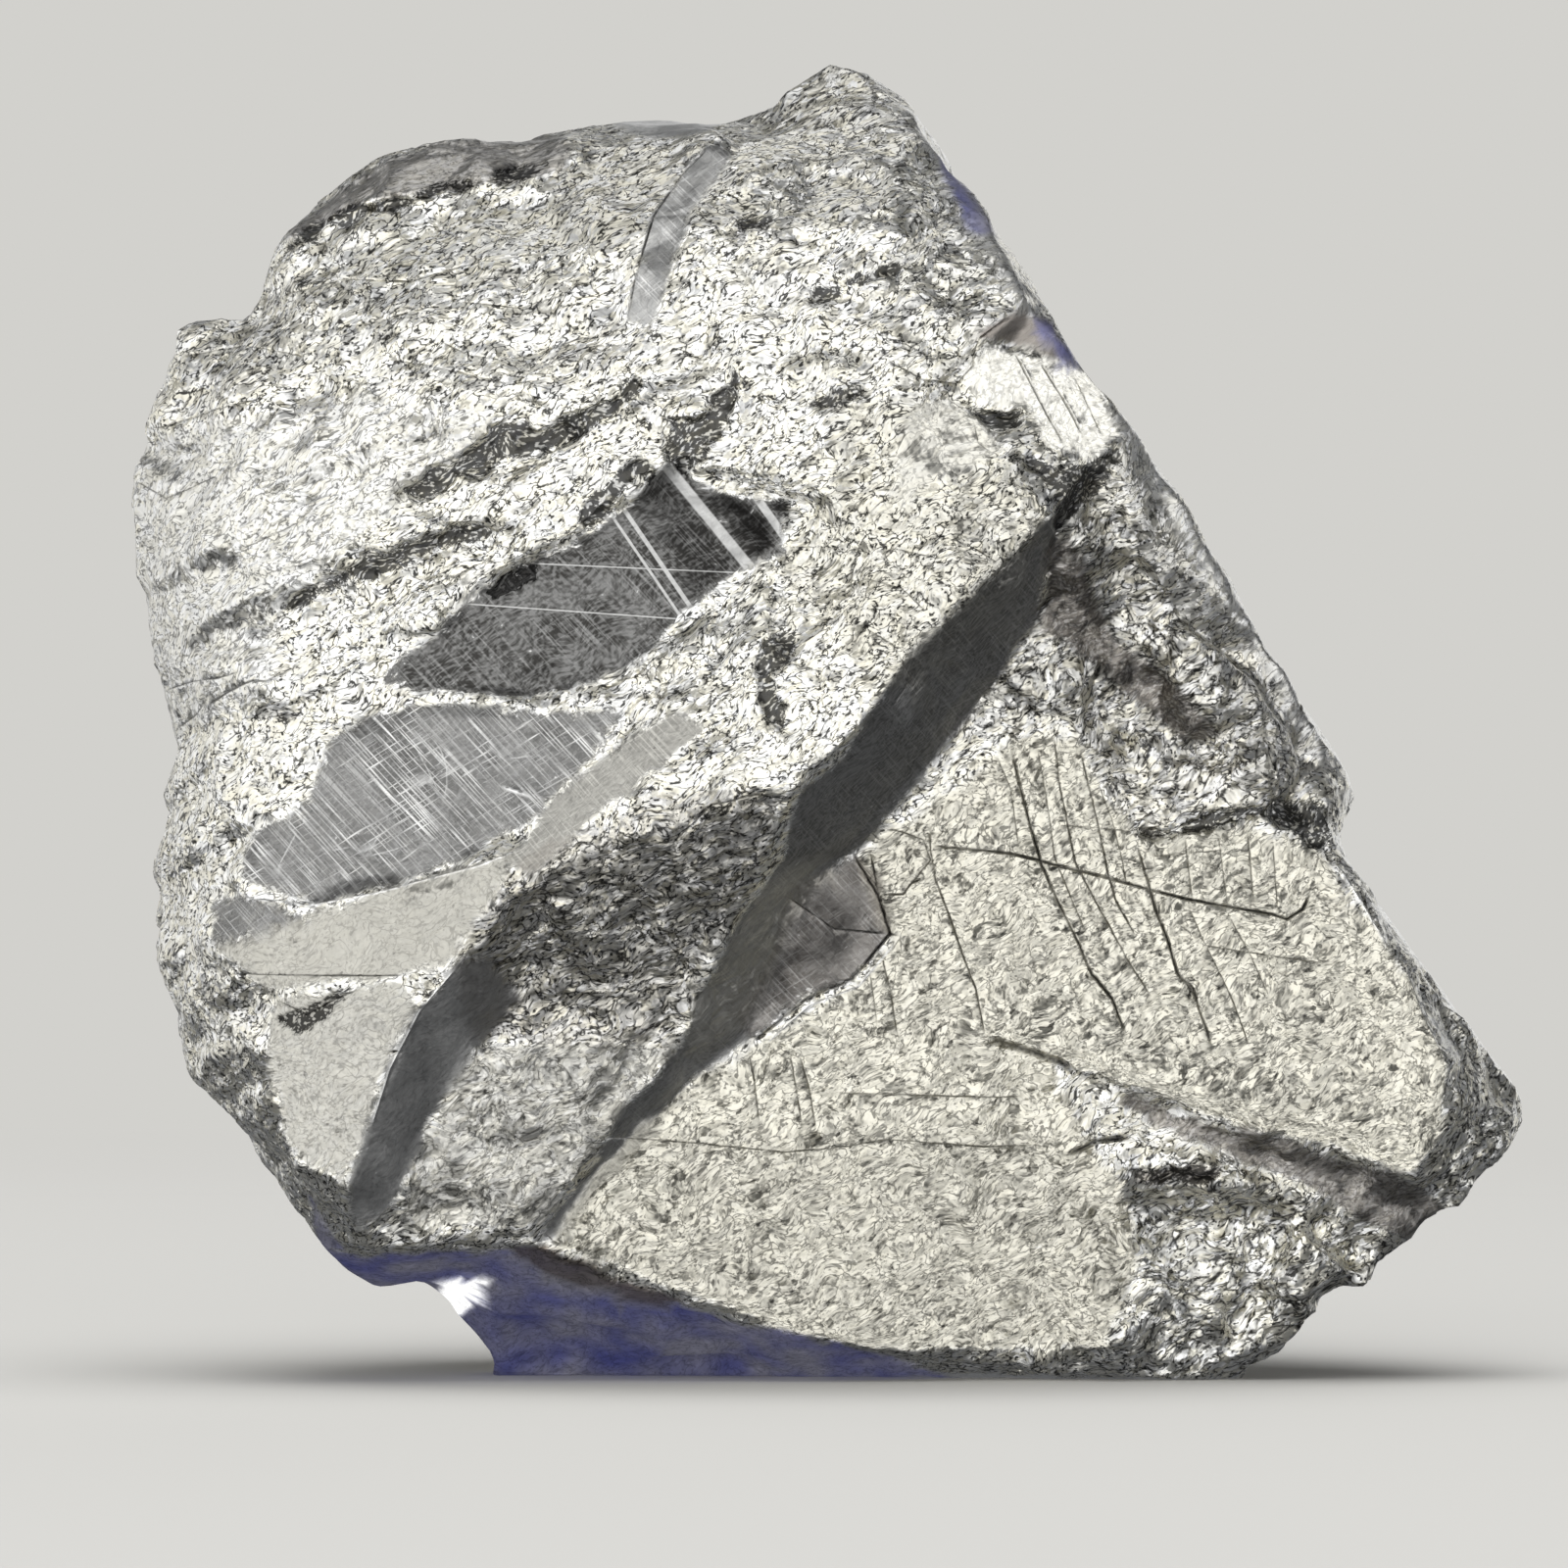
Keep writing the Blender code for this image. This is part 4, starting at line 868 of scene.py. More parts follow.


# %% [markdown]
# ## Cracks, bars and scratches
# The crystal faces are crossed by cracks a tenth of a millimetre wide, finer than the mesh. A dark line
# of colour alone would look painted on. So the mesh is first divided twice along each line, down to a
# twentieth of a millimetre, and only then is each line pushed in as a V, which stays dark from every side
# as a real crack does. Each crack is also painted darker along its middle: painted shade. Scratches and
# the bright edges of steps are raised the same way and left bare of film and painted shade, so the edges
# also carry a painted highlight.

# %% Cracks on the drawing
THIN, MIDDLING, THICK = 0.085, 0.12, 0.20  # mm, widths of cracks
CRACKS = [
    (THIN, [(1010, 765), (1025, 800), (1030, 840), (1033, 860)]),
    (THICK, [(1025, 760), (1032, 790), (1045, 840), (1055, 875), (1075, 920), (1090, 950), (1105, 985),
             (1125, 1010), (1140, 1050)]),
    (THIN, [(1050, 755), (1057, 790), (1063, 830), (1068, 868), (1085, 910), (1100, 945)]),
    (MIDDLING, [(1067, 745), (1072, 790), (1080, 830), (1088, 872), (1105, 905), (1140, 970), (1165, 1010)]),
    (MIDDLING, [(1093, 760), (1103, 800), (1112, 840), (1120, 880), (1128, 910), (1150, 950)]),
    (THIN, [(1110, 790), (1125, 830), (1135, 870), (1140, 900)]),
    (THICK, [(1150, 855), (1160, 890), (1168, 920), (1180, 950), (1190, 985), (1205, 1000), (1225, 1060)]),
    (THIN, [(1200, 915), (1215, 950), (1235, 990), (1248, 1020), (1262, 1060)]),
    (MIDDLING, [(945, 835), (945, 860), (950, 890), (965, 930), (975, 960), (990, 1000), (1000, 1050)]),
    (THICK, [(945, 856), (990, 860), (1020, 863), (1050, 870), (1080, 878), (1120, 888), (1155, 898),
             (1200, 910), (1240, 917), (1285, 925), (1300, 930), (1315, 920), (1325, 900)]),
    (THIN, [(1210, 955), (1270, 965), (1340, 975)]),
    (THIN, [(1070, 835), (1110, 838), (1150, 842)]),
    (MIDDLING, [(1197, 845), (1201, 880), (1205, 915)]),
    (THIN, [(1230, 840), (1235, 880), (1240, 917)]),
    (MIDDLING, [(1260, 838), (1263, 880), (1266, 920)]),
    (THIN, [(1285, 850), (1290, 925)]),
    (THIN, [(1160, 867), (1240, 860)]),
    (THIN, [(1240, 925), (1262, 965), (1282, 1010)]),
    (MIDDLING, [(765, 1062), (770, 1090), (776, 1140)]),
    (MIDDLING, [(805, 1062), (812, 1100), (818, 1140)]),
    (MIDDLING, [(815, 1065), (825, 1100), (832, 1145)]),
    (MIDDLING, [(895, 960), (905, 1000), (913, 1050)]),
    (THIN, [(885, 980), (893, 1040)]),
    (0.5, [(1000, 1050), (1040, 1062), (1075, 1075), (1095, 1090)]),
    (THIN, [(620, 1150), (700, 1155), (800, 1165), (860, 1160), (900, 1152), (1000, 1160), (1050, 1158)]),
    (THIN, [(850, 1105), (950, 1108), (1020, 1110), (1040, 1108)]),
    (0.35, [(1080, 1170), (1110, 1155), (1150, 1150)]),
    (MIDDLING, [(905, 838), (938, 850), (945, 870), (918, 905), (895, 905)]),
    (MIDDLING, [(885, 860), (893, 900), (905, 945), (918, 948)]),
    (0.17, [(1025, 360), (1045, 400), (1060, 430), (1075, 455)]),
    (0.17, [(1050, 370), (1080, 420), (1095, 450)]),
    (MIDDLING, [(1085, 385), (1105, 430), (1115, 450)]),
    (0.4, [(1000, 424), (1020, 428), (1035, 420)]),
    (0.3, [(1018, 395), (1032, 399)]),
    (MIDDLING, [(900, 372), (935, 392), (970, 395), (985, 378), (992, 350), (1025, 325)]),
    (THIN, [(985, 430), (990, 455), (1010, 470)]),
    (MIDDLING, [(1145, 838), (1180, 842), (1230, 822), (1270, 812)]),
    (THIN, [(170, 435), (230, 418), (290, 405)]),
    (THIN, [(180, 700), (215, 690), (240, 688), (265, 680)]),
    (THIN, [(600, 400), (640, 385), (665, 360)]),
    (MIDDLING, [(690, 855), (730, 815), (790, 800)]),
    (THIN, [(250, 985), (340, 985), (430, 985)]),
    (MIDDLING, [(300, 1010), (330, 1025), (360, 1008), (385, 998)]),
    (THIN, [(560, 1245), (570, 1255), (585, 1262)]),
    (MIDDLING, [(726, 154), (698, 182), (672, 226), (655, 282), (646, 330)]),
    (THIN, [(150, 485), (185, 505), (235, 485), (275, 465)]),
    (MIDDLING, [(230, 715), (250, 702), (275, 690), (290, 690), (312, 678)]),
    (THIN, [(260, 560), (290, 547), (330, 528)]),
    (THIN, [(192, 740), (215, 725), (232, 705)]),
    (THIN, [(420, 370), (450, 375), (490, 385), (530, 395), (565, 390)]),
    (THIN, [(460, 350), (490, 365), (520, 370), (555, 365), (610, 345)]),
    (MIDDLING, [(300, 300), (360, 285), (430, 290), (500, 270), (560, 262)]),
    (THIN, [(330, 340), (400, 330), (470, 310), (540, 318), (600, 300)]),
    (THIN, [(200, 360), (260, 350), (330, 365)]),
    (THICK, [(868, 862), (893, 905), (905, 945), (868, 990), (820, 1012), (770, 1055)]),
    (MIDDLING, [(800, 905), (850, 940), (905, 945)]),
    (THIN, [(880, 640), (905, 655), (925, 690), (905, 720)]),
    (THIN, [(905, 560), (950, 570), (985, 560), (1010, 575)]),
    (THIN, [(850, 600), (880, 590), (915, 600), (940, 625)]),
]
BARS = {  # bright bars, painted highlights, and two long scratches on the mirror face: width in mm and two points of each line
    "broad bars": [
        (0.52, (704, 501), (759, 569)), (0.38, (766, 498), (796, 541)), (0.20, (649, 529), (704, 611)),
    ],
    "narrow bars": [
        (0.13, (649, 553), (692, 617)), (0.06, (515, 616), (668, 627)), (0.06, (579, 575), (732, 582)),
    ],
}
CRACKS = [(width, on_face(points)) for width, points in CRACKS]
print(len(CRACKS), "cracks,", sum(len(bars) for bars in BARS.values()), "bars")


# %% Fine scratches over the scratched face
def scratches(name, count, seed):
    """Short lines inside a face of the drawing, most of them along two directions, some curved."""
    pick = random.Random(seed)
    outline = FACES[name]
    low, high = outline.min(0), outline.max(0)
    found = []
    while len(found) < count:
        spot = np.array([pick.uniform(low[0], high[0]), pick.uniform(low[1], high[1])])
        angle = math.radians(pick.choice([-50, -52, 35, 50, 10]) + pick.gauss(0, 9))
        turn = math.radians(pick.gauss(0, 7))
        line = [spot]
        for _ in range(pick.randint(2, 5)):
            spot = spot + 0.9 * np.array([math.cos(angle), math.sin(angle)])
            angle += turn
            line.append(spot)
        if inside_outline(np.array(line), outline).min() > 0.1:
            found.append((pick.uniform(0.05, 0.09), np.array(line)))
    return found


# Bright edges of steps: raised, and painted lighter by taking off the film and the painted shade, so partly a
# painted highlight.
BRIGHT_EDGES = [  # width in mm and the points of each bright line
    (0.28, [(518, 795), (555, 808)]),
    (0.25, [(1352, 878), (1380, 925), (1402, 962)]),
    (0.16, [(265, 905), (330, 916), (400, 903), (440, 892), (500, 876), (540, 860)]),
    (0.18, [(912, 952), (874, 998), (824, 1018), (778, 1060)]),
    (0.14, [(480, 975), (442, 1020), (412, 1078), (392, 1140)]),
]
SCRATCHES = [(width, on_face(points)) for width, points in BRIGHT_EDGES] + scratches("scratched", 14, 11)
print(len(SCRATCHES), "scratches")


# %% A finer mesh along the lines
REFINED = 0.26  # mm to each side of a line's own strip
LINES = [*CRACKS, *SCRATCHES]
RIMMED = (*HOLLOWS, "dark cell", "striped cell")  # shapes whose painted shadow and painted dark need a finer mesh at their borders
RIMS = [(0.0, np.vstack([SHAPES[name], SHAPES[name][:1]])) for name in RIMMED]


def near_lines(places, normals, lines):
    """Which points of the front lie on or close beside a line."""
    found = np.zeros(len(places), dtype=bool)
    front = np.nonzero((places[:, 1] < 2.5) & (normals[:, 1] < 0.35))[0]
    spots = places[front][:, [0, 2]]
    for width, line in lines:
        reach = width / 2 + REFINED
        low, high = line.min(0) - reach, line.max(0) + reach
        near = np.nonzero(((spots > low) & (spots < high)).all(1))[0]
        found[front[near[along_line(spots[near], line)[0] < reach]]] = True
    return found


def divide_near_lines(obj, lines):
    """Cuts in two every edge whose ends both lie near a line."""
    places, normals = read_points(obj.data)
    chosen = near_lines(places, normals, lines)
    bm = bmesh.new()
    bm.from_mesh(obj.data)
    edges = [edge for edge in bm.edges if chosen[edge.verts[0].index] and chosen[edge.verts[1].index]]
    bmesh.ops.subdivide_edges(bm, edges=edges, cuts=1, use_grid_fill=True)
    bm.to_mesh(obj.data)
    bm.free()


for lines in (LINES + RIMS, LINES):
    divide_near_lines(lump, lines)
print("divided along the lines:", len(lump.data.vertices), "points")


# %% What each line does to the points beside it
def strip_numbers(places, normals):
    """Push along the normal in millimetres, painted shade and shine of each point, from all the lines."""
    front = np.nonzero((places[:, 1] < 2.5) & (normals[:, 1] < 0.35))[0]
    spots = places[front][:, [0, 2]]
    push, painted_dark, shine = np.zeros(len(places)), np.zeros(len(places)), np.zeros(len(places))

    def beside(line, reach):
        """Points within reach of a line, with their distance, side, run, and the distance to its ends."""
        low, high = line.min(0) - reach, line.max(0) + reach
        near = np.nonzero(((spots > low) & (spots < high)).all(1))[0]
        distance, side, run = along_line(spots[near], line)
        kept = distance < reach
        total = np.hypot(*(line[1:] - line[:-1]).T).sum()
        to_end = np.minimum(run, total - run)
        return front[near[kept]], distance[kept], side[kept], run[kept], to_end[kept]

    for width, line in CRACKS:
        near, distance, side, run, to_end = beside(line, width / 2)
        share = (1.0 - distance / (width / 2)) * ease(to_end, -0.05, 0.8)
        strength = np.clip(0.75 + 0.4 * ragged(np.column_stack([run + 9.0 * width, run]), 3.2), 0.25, 1.0)
        push[near] = np.minimum(push[near], -0.95 * width * share * strength)
        # Cracks are painted darker along their middles: painted shade.
        painted_dark[near] = np.maximum(painted_dark[near], np.minimum(0.45 + 2.7 * width, 1.5 * share * strength))
    # Scratches and bright edges are raised and given shine, which takes the film and painted shade off: bare
    # scratches, and a painted highlight along the bright edges.
    for width, line in SCRATCHES:
        near, distance, side, run, to_end = beside(line, width / 2)
        share = (1.0 - distance / (width / 2)) * ease(to_end, -0.05, 0.8)
        push[near] = np.maximum(push[near], 0.3 * width * share)
        shine[near] = np.maximum(shine[near], share * (0.5 if width < 0.1 else 1.0))
    return push, painted_dark, shine


places, normals = read_points(lump.data)
push, painted_dark, shine = strip_numbers(places, normals)
lump.data.vertices.foreach_set("co", ((places + normals * push[:, None]) * MM).ravel())
lump.data.update()
print("points pushed:", int((push != 0).sum()))


# %% [markdown]
# ## Thinning the mesh
# The even mesh spends as many faces on a flat crystal face as on a chip. Decimate merges the ones that
# lie flat, which keeps the piece under 200,000 triangles and leaves the detail where it is. A second pass
# touches the back and the sides alone, because the front carries the finer features.

# %% Fewer faces on the flats
FIRST_PASS, SECOND_PASS = 300000, 196000  # triangles


def thinned(obj, triangles, group=""):
    """The object with about so many triangles left, taken from one vertex group or from all of it."""
    obj.data.calc_loop_triangles()
    fewer = obj.modifiers.new("fewer faces", "DECIMATE")
    fewer.ratio = triangles / len(obj.data.loop_triangles)
    fewer.vertex_group = group
    return with_modifiers(obj)


lump = thinned(lump, FIRST_PASS)
places, normals = read_points(lump.data)
behind = np.nonzero((places[:, 1] > -1.0) | (normals[:, 1] > -0.1))[0]
lump.vertex_groups.new(name="behind").add(behind.tolist(), 1.0, "REPLACE")
lump = thinned(lump, SECOND_PASS, "behind")
lump.vertex_groups.clear()
lump.data.calc_loop_triangles()
print("thinned to", len(lump.data.loop_triangles), "triangles")


# %% [markdown]
# ## Films, painted shade and tints
# Faces that point down and to the right are painted with a thin dark film. It is partly the lump's own
# tarnish and partly painted shade, for the light that these faces turn away from. The underside of the
# front edge is tinted blue-violet, and some faces with the film are tinted brown. Each kind of colour has
# its own list of faces and how much of it they carry. The shares go on the finished mesh, and the roughness
# is written again, because thinning blurs what was written before.

# %% Which face carries which film and painted shade, and which tint
# The film is partly tarnish and partly painted shade: the mirror face, the gully, the step, the flank wall
# and the foot rim are painted darker for the light they don't catch.
FACE_COLOURING = {
    "film_and_shade": {
        "gully": 0.74, "lower left": 0.42, "mirror": 0.94, "scratched": 0.86, "slope": 0.16,
        "left stipple": 0.12, "lower pale": 0.27, "leaf": 0.12, "column wall": 0.58, "flank wall": 0.82,
        "step": 0.70, "sliver": 0.6, "ramp": 0.66, "lip": 0.42, "top cap": 0.35, "notch side": 0.84,
        "dark hollow": 0.30, "striped cell": 0.96, "dark cell": 1.0, "darker cell": 1.0, "shelf": 0.50,
        "column": 0.50, "pale face": 0.10, "right bank": 0.06, "lower scratched": 0.85, "foot rim": 0.7,
    },
    "brown": {
        "flank wall": 0.3, "notch side": 0.2, "step": 0.3, "tile top": 0.7, "dark hollow": 0.15,
        "lower pit": 0.5, "lip": 0.25, "right bank": 0.08, "brown foot": 0.9,
    },
    "violet": {"keel": 0.95, "upper blue": 0.9, "lower blue": 0.8},
    "pale": {
        "pale face": 0.8, "ramp": 0.5, "gully foot": 0.5, "slope": 0.45, "shelf": 0.6, "tile": 0.4,
        "leaf": 0.5, "column": 0.5, "lower left": 0.3,
    },
    "scratched": {
        "scratched": 1.0, "mirror": 0.2, "ramp": 0.4, "sliver": 0.8, "gully": 0.2, "notch side": 0.4,
        "lower scratched": 0.7,
    },
    "barred": {"mirror": 1.0},
}
FINISH = {  # how calm each face is in its finish, where that differs from its shape
    **CALM, "long edge": 0.1, "keel": 0.8, "pale face": 0.30, "shelf": 0.8, "column": 0.7, "tile": 0.7,
}
PAINTED_DARK_CELLS = {"dark cell": 0.75, "darker cell": 0.7, "striped cell": 0.4}  # cells of the mirror face painted dark all over: painted dark reflection
FINISH_FADE, CELL_FADE = 0.2, 0.08  # mm, half the width of a finish's border, and of a dark cell's



# %% Shares on the finished mesh
places, normals = read_points(lump.data)
spots = places[:, [0, 2]]
push, painted_dark, shine = strip_numbers(places, normals)
# Painted light: the gully's foot and end are painted lighter, and the white wedge is cleared of film and
# violet as a painted highlight.
kept_share = {  # what is kept of each film and tint where a lighter face cuts into it
    "violet": 1.0 - painted(places, normals, {"white wedge": 1.0, "brown foot": 0.7}, SHARP),
    "film_and_shade": 1.0 - painted(places, normals, {"gully foot": 0.36, "gully end": 0.2, "white wedge": 1.0}, 0.6),
}
for colouring, strengths in FACE_COLOURING.items():
    share = painted(places, normals, strengths, SHARP, SOFT if colouring == "film_and_shade" else 0.0) * (1.0 - shine)
    write_numbers(lump.data, colouring, share * kept_share.get(colouring, 1.0))
# Where the film and its painted shade reach, for the shader's crisp cut.
write_numbers(lump.data, "film_and_shade_reach", painted(places, normals, dict.fromkeys(FACE_COLOURING["film_and_shade"], 1.0), SOFT))
write_numbers(lump.data, "rough", roughness_of(places, normals, FINISH_FADE, FINISH) * (1.0 - shine))
# Cracks and the dark mirror cells are painted dark: painted shade and painted dark reflection.
cells = painted(places, normals, PAINTED_DARK_CELLS, CELL_FADE)
write_numbers(lump.data, "painted_dark", np.maximum(painted_dark, cells * (1.0 - shine)))
# The hollows' shadow is painted into the colour: painted shadow.
shadowed = painted(places, normals, dict.fromkeys(HOLLOWS, 1.0), SOFT)
write_numbers(lump.data, "hollow", shadowed * (1.0 - shine))
print("films on the finished mesh:", ", ".join(FACE_COLOURING))


# %% [markdown]
# ## Striations and bars
# Several crystal faces carry fine parallel ridges where two crystal forms took turns as they grew. They
# are too fine for the mesh, so each point gets its own count of ridges across the face, and the shader
# turns that into a wave. For a bar, each point gets its distance from the bar's middle line instead.

# %% Ridges and bars, measured at each point
STRIPED = {  # face: direction of its lines on the drawing, their spacing in mm, and how far they lean it
    "mirror": ((55, 68), 0.42, 0.08),
    "scratched": ((58, 66), 0.36, 0.05),
    "column": ((-22, 60), 0.40, 0.07),
    "striated strip": ((45, 110), 0.50, 0.10),
    "tile": ((40, 85), 0.40, 0.06),
    "leaf": ((40, 85), 0.35, 0.06),
    "shelf": ((6, 60), 0.30, 0.05),
}


def write_vectors(mesh, name, vectors):
    """Writes one vector for each point, under a name that the shader reads."""
    layer = mesh.attributes.new(name, "FLOAT_VECTOR", "POINT")
    layer.data.foreach_set("vector", vectors.astype(np.float32).ravel())


stripe = np.zeros(len(places))
stripe_lean = np.zeros((len(places), 3))
for name, (direction, spacing, lean) in STRIPED.items():
    share = share_of(places, normals, name, FINISH_FADE) * (1.0 - shine)
    along = np.array([direction[0], -direction[1]]) / math.hypot(*direction)
    across = np.array([-along[1], along[0]])
    low, high = SHAPES[name].min(0) - ROUND, SHAPES[name].max(0) + ROUND
    wide = np.nonzero((places[:, 1] < 2.5) & (spots > low).all(1) & (spots < high).all(1))[0]
    wide = wide[inside_outline(spots[wide], SHAPES[name]) > -0.9]  # to where the lean has faded out
    stripe[wide] = (spots[wide] @ across) / spacing
    stripe_lean[wide] = share[wide, None] * lean * np.array([across[0], 0.0, across[1]])
write_numbers(lump.data, "stripe", stripe)
write_vectors(lump.data, "stripe lean", stripe_lean)
for name, bars in BARS.items():
    measures = []
    for width, *ends in bars:
        start, end = on_face(ends)
        step = (end - start) / np.hypot(*(end - start))
        measures.append((spots - start) @ np.array([-step[1], step[0]]) / (width / 2))
    write_vectors(lump.data, name, np.column_stack(measures))
print(len(STRIPED), "striated faces,", len(BARS), "sets of bars")


# %% [markdown]
# ## Facets evened out
# A metal face that is truly flat mirrors one lamp all over. The solid's larger faces are made of many
# facets with slightly different leans, which would show as patches. Flattening the mesh would move the
# outline away from the solid's, so only the shading direction is turned: each point gets a small vector
# that the shader adds to its lean, and the shape stays as it is.

# %% A turn for each point
EVENED = {  # face: how far it is evened, and the lean (x, y, z) that it gets
    "pale face": (0.88, (0.12, -0.96, 0.20)),
    "keel": (0.8, (0.0, -0.72, -0.66)),
    "leaf": (0.6, (-0.10, -0.95, 0.15)),
    "tile": (0.8, (-0.08, -0.96, 0.10)),
    "ramp": (0.95, (-0.10, -0.95, 0.10)),
    "column": (0.7, (0.0, -0.95, 0.15)),
    "white wedge": (0.9, (-0.1, -0.98, 0.10)),
    "shelf": (0.5, (-0.10, -0.92, 0.25)),
    "upper leaf": (0.3, (-0.08, -0.97, 0.18)),
}


def evened(mesh, vectors, times):
    """Unit vectors at the points, averaged with their neighbours' a number of times."""
    edges = np.empty(len(mesh.edges) * 2, dtype=np.int32)
    mesh.edges.foreach_get("vertices", edges)
    one, other = edges.reshape(-1, 2).T
    count = len(vectors)
    shared = (np.bincount(one, minlength=count) + np.bincount(other, minlength=count) + 1.0)[:, None]
    for _ in range(times):
        vectors = (vectors + np.column_stack([
            np.bincount(one, column[other], count) + np.bincount(other, column[one], count)
            for column in vectors.T
        ])) / shared
    return vectors / np.linalg.norm(vectors, axis=1, keepdims=True)


FEW, MANY = 25, 120  # passes
slow_normals = evened(lump.data, normals, FEW)
slower_normals = evened(lump.data, slow_normals, MANY)
held = 0.8 * (1.0 - painted(places, normals, COARSE, COARSE_FADE))  # rough ground is evened a little too
turned = held[:, None] * (slower_normals - slow_normals)
rough = roughness_of(places, normals, FINISH_FADE)
level = 1.0 - ease(rough, 0.1, 0.4)  # level ground keeps its points' normals
own = slow_normals + level[:, None] * (normals - slow_normals)
for name, (strength, lean) in EVENED.items():
    share = strength * share_of(places, normals, name, FINISH_FADE)
    print(name, "leans", np.round(slow_normals[share > strength / 2].mean(0), 2))
    turned += share[:, None] * (np.array(lean) - own - turned)
write_vectors(lump.data, "turn", turned)


# %% Smooth shading, with sharp chips
SHARP_FROM = math.radians(38)  # two triangles that meet more steeply than this keep their edge
for polygon in lump.data.polygons:
    polygon.use_smooth = True
lump.data.set_sharp_from_angle(angle=SHARP_FROM)

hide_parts("pyrite")
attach(lump, "root")
lump.data.calc_loop_triangles()
print("lump:", len(lump.data.loop_triangles), "triangles")


# %% [markdown]
# ## Studio
# A metal shows only what it mirrors. One wide soft light stands round the camera, a little up and to the
# left, so faces turned that way go bright, and those turned down and right mirror the dark side of the
# room. Soft lights behind, above and at the sides do the same for the other sides of the lump. A painted
# sky would do it too, but lamps can be moved one at a time. The lump stands on a sheet of pale matt paper
# that curves up all round. Its flat part is lit by the lamps, and its wall glows evenly by itself, which
# gives a calm backdrop and costs much less than lighting it.

# %% Floor and backdrop
def bowl(flat=0.4, fillet=0.9, turn=math.radians(48), steps=14, around=96):
    """A round sheet of paper: flat under the lump, then curving up all round to half a wall."""
    profile = [(flat, 0.0)]
    for i in range(1, steps + 1):
        angle = turn * i / steps
        profile.append((flat + fillet * math.sin(angle), fillet - fillet * math.cos(angle)))
    bm = bmesh.new()
    middle = bm.verts.new((0.0, 0.0, 0.0))
    rings = []
    for reach, level in profile:
        turns = [2 * math.pi * k / around for k in range(around)]
        rings.append([bm.verts.new((reach * math.cos(t), reach * math.sin(t), level)) for t in turns])
    for k in range(around):
        bm.faces.new([middle, rings[0][k], rings[0][(k + 1) % around]])
    for inner, outer in zip(rings, rings[1:]):
        for k in range(around):
            n = (k + 1) % around
            bm.faces.new([inner[k], outer[k], outer[n], inner[n]])
    for face in bm.faces:
        face.smooth = True
    mesh = bpy.data.meshes.new("paper bowl")
    bm.to_mesh(mesh)
    bm.free()
    obj = bpy.data.objects.new("paper_bowl", mesh)
    bpy.context.scene.collection.objects.link(obj)
    return obj


stage = bowl()
print("paper:", len(stage.data.polygons), "faces")


# %% The paper
PAPER = "#A3A29F"
GLOW = "#D2D1CD"
BLACK = "#000000"
WALL_STARTS, WALL = 0.25, 0.40  # metres from the middle: where the sheet begins to glow, and glows fully
paper = bpy.data.materials.new("matt studio paper")
paper.use_nodes = True
sheet = paper.node_tree.nodes["Principled BSDF"]
sheet.inputs["Roughness"].default_value = 0.9
sheet.inputs["Specular IOR Level"].default_value = 0.0
spot = add_node(paper.node_tree, "ShaderNodeTexCoord").outputs["Object"]
reach = add_node(paper.node_tree, "ShaderNodeVectorMath", {0: spot}, operation="LENGTH").outputs["Value"]
glowing = add_node(paper.node_tree, "ShaderNodeMapRange", {0: reach, 1: WALL_STARTS, 2: WALL}).outputs[0]
tone = add_node(paper.node_tree, "ShaderNodeMix", {0: glowing, 6: colour(PAPER), 7: colour(BLACK)},
                data_type="RGBA").outputs[2]
paper.node_tree.links.new(tone, sheet.inputs["Base Color"])
sheet.inputs["Emission Color"].default_value = colour(GLOW)
paper.node_tree.links.new(glowing, sheet.inputs["Emission Strength"])
stage.data.materials.append(paper)
stage.visible_glossy = False
stage.visible_shadow = False
stage.visible_diffuse = False


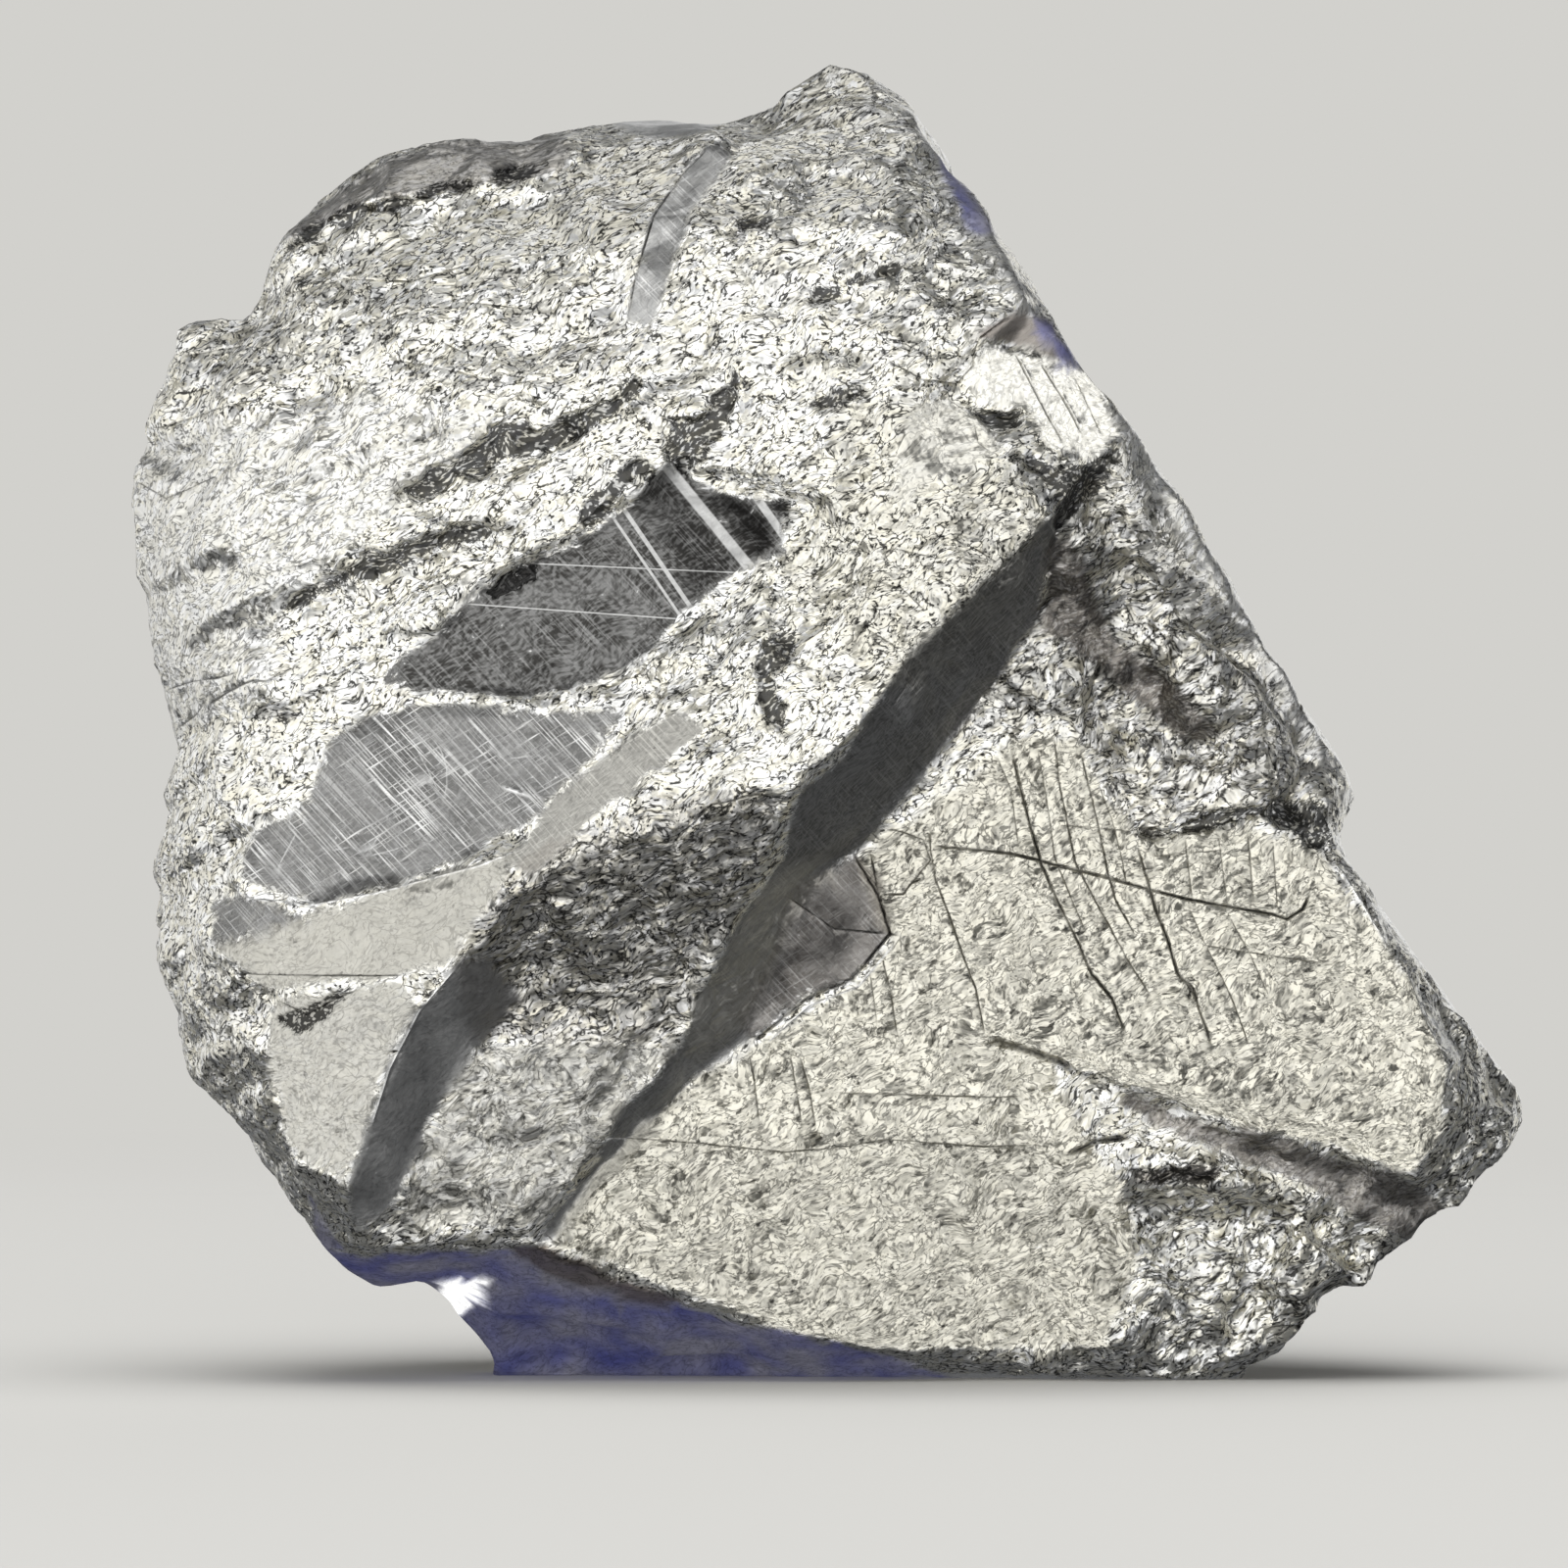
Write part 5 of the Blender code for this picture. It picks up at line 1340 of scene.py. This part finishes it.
# %% Lamps
def lamp(name, direction, distance, size, brightness, shows_in_metal=True):
    """A square soft light that faces the middle of the lump; brightness is what a mirror would show."""
    data = bpy.data.lights.new(name, "AREA")
    data.shape = "SQUARE"
    data.size = size
    data.energy = brightness * math.pi * size * size
    obj = bpy.data.objects.new(name, data)
    middle = Vector((0.0, 0.0, 30.0 * MM))
    obj.location = middle + Vector(direction).normalized() * distance
    obj.rotation_euler = (middle - obj.location).to_track_quat("-Z", "Y").to_euler()
    obj.visible_glossy = shows_in_metal
    bpy.context.scene.collection.objects.link(obj)
    return obj


LAMPS = {  # name: where it stands (a direction), how far off and how wide in metres, and its brightness
    "main softbox": ((-0.16, -1.0, 0.20), 1.3, 1.9, 1.5),
    "left softbox": ((-1.0, -0.35, 0.15), 1.3, 1.5, 1.25),
    "low softbox": ((-0.1, -1.0, -0.85), 1.3, 1.1, 0.9),
    "right glint": ((0.9, -0.65, 0.0), 1.3, 0.9, 1.3),
    "high softbox": ((-0.2, 0.1, 1.0), 1.2, 1.0, 1.1),
    "rim softbox": ((-0.85, 0.65, 0.15), 1.3, 1.2, 0.9),
    "back softbox": ((0.5, 1.0, 0.25), 1.3, 1.4, 1.0),
}
for name, settings in LAMPS.items():
    lamp(name, *settings)
lamp("paper light", (0.0, -0.2, 1.0), 2.2, 2.0, 6.2, shows_in_metal=False)
print(len(LAMPS) + 1, "lamps")


# %% The room
ROOM, ROOM_STRENGTH = "#9A9CA0", 0.36
world = bpy.data.worlds.new("dim room")
bpy.context.scene.world = world
world.use_nodes = True
world.node_tree.nodes["Background"].inputs["Color"].default_value = colour(ROOM)
world.node_tree.nodes["Background"].inputs["Strength"].default_value = ROOM_STRENGTH
bpy.context.scene.view_settings.view_transform = "Standard"


# %% [markdown]
# ## Camera
# A short lens would swell the near side of so small a thing. A long lens, level with the middle of the
# lump, keeps its outline as a drawing would have it.

# %% The camera
LENS, SENSOR = 250.0, 36.0  # mm
DISTANCE = 0.558  # metres from the lump
LOOKED_AT = (-2.29, 0.0, 30.25)  # mm, the middle of the picture
camera_data = bpy.data.cameras.new("camera")
camera_data.lens = LENS
camera_data.sensor_width = SENSOR
camera_data.clip_start = 0.01
camera = bpy.data.objects.new("camera", camera_data)
aim = Vector(LOOKED_AT) * MM
camera.location = aim + Vector((0.0, -DISTANCE, 0.0))
camera.rotation_euler = (aim - camera.location).to_track_quat("-Z", "Y").to_euler()
bpy.context.scene.collection.objects.link(camera)
bpy.context.scene.camera = camera
print("camera", DISTANCE, "m away, lens", LENS, "mm")
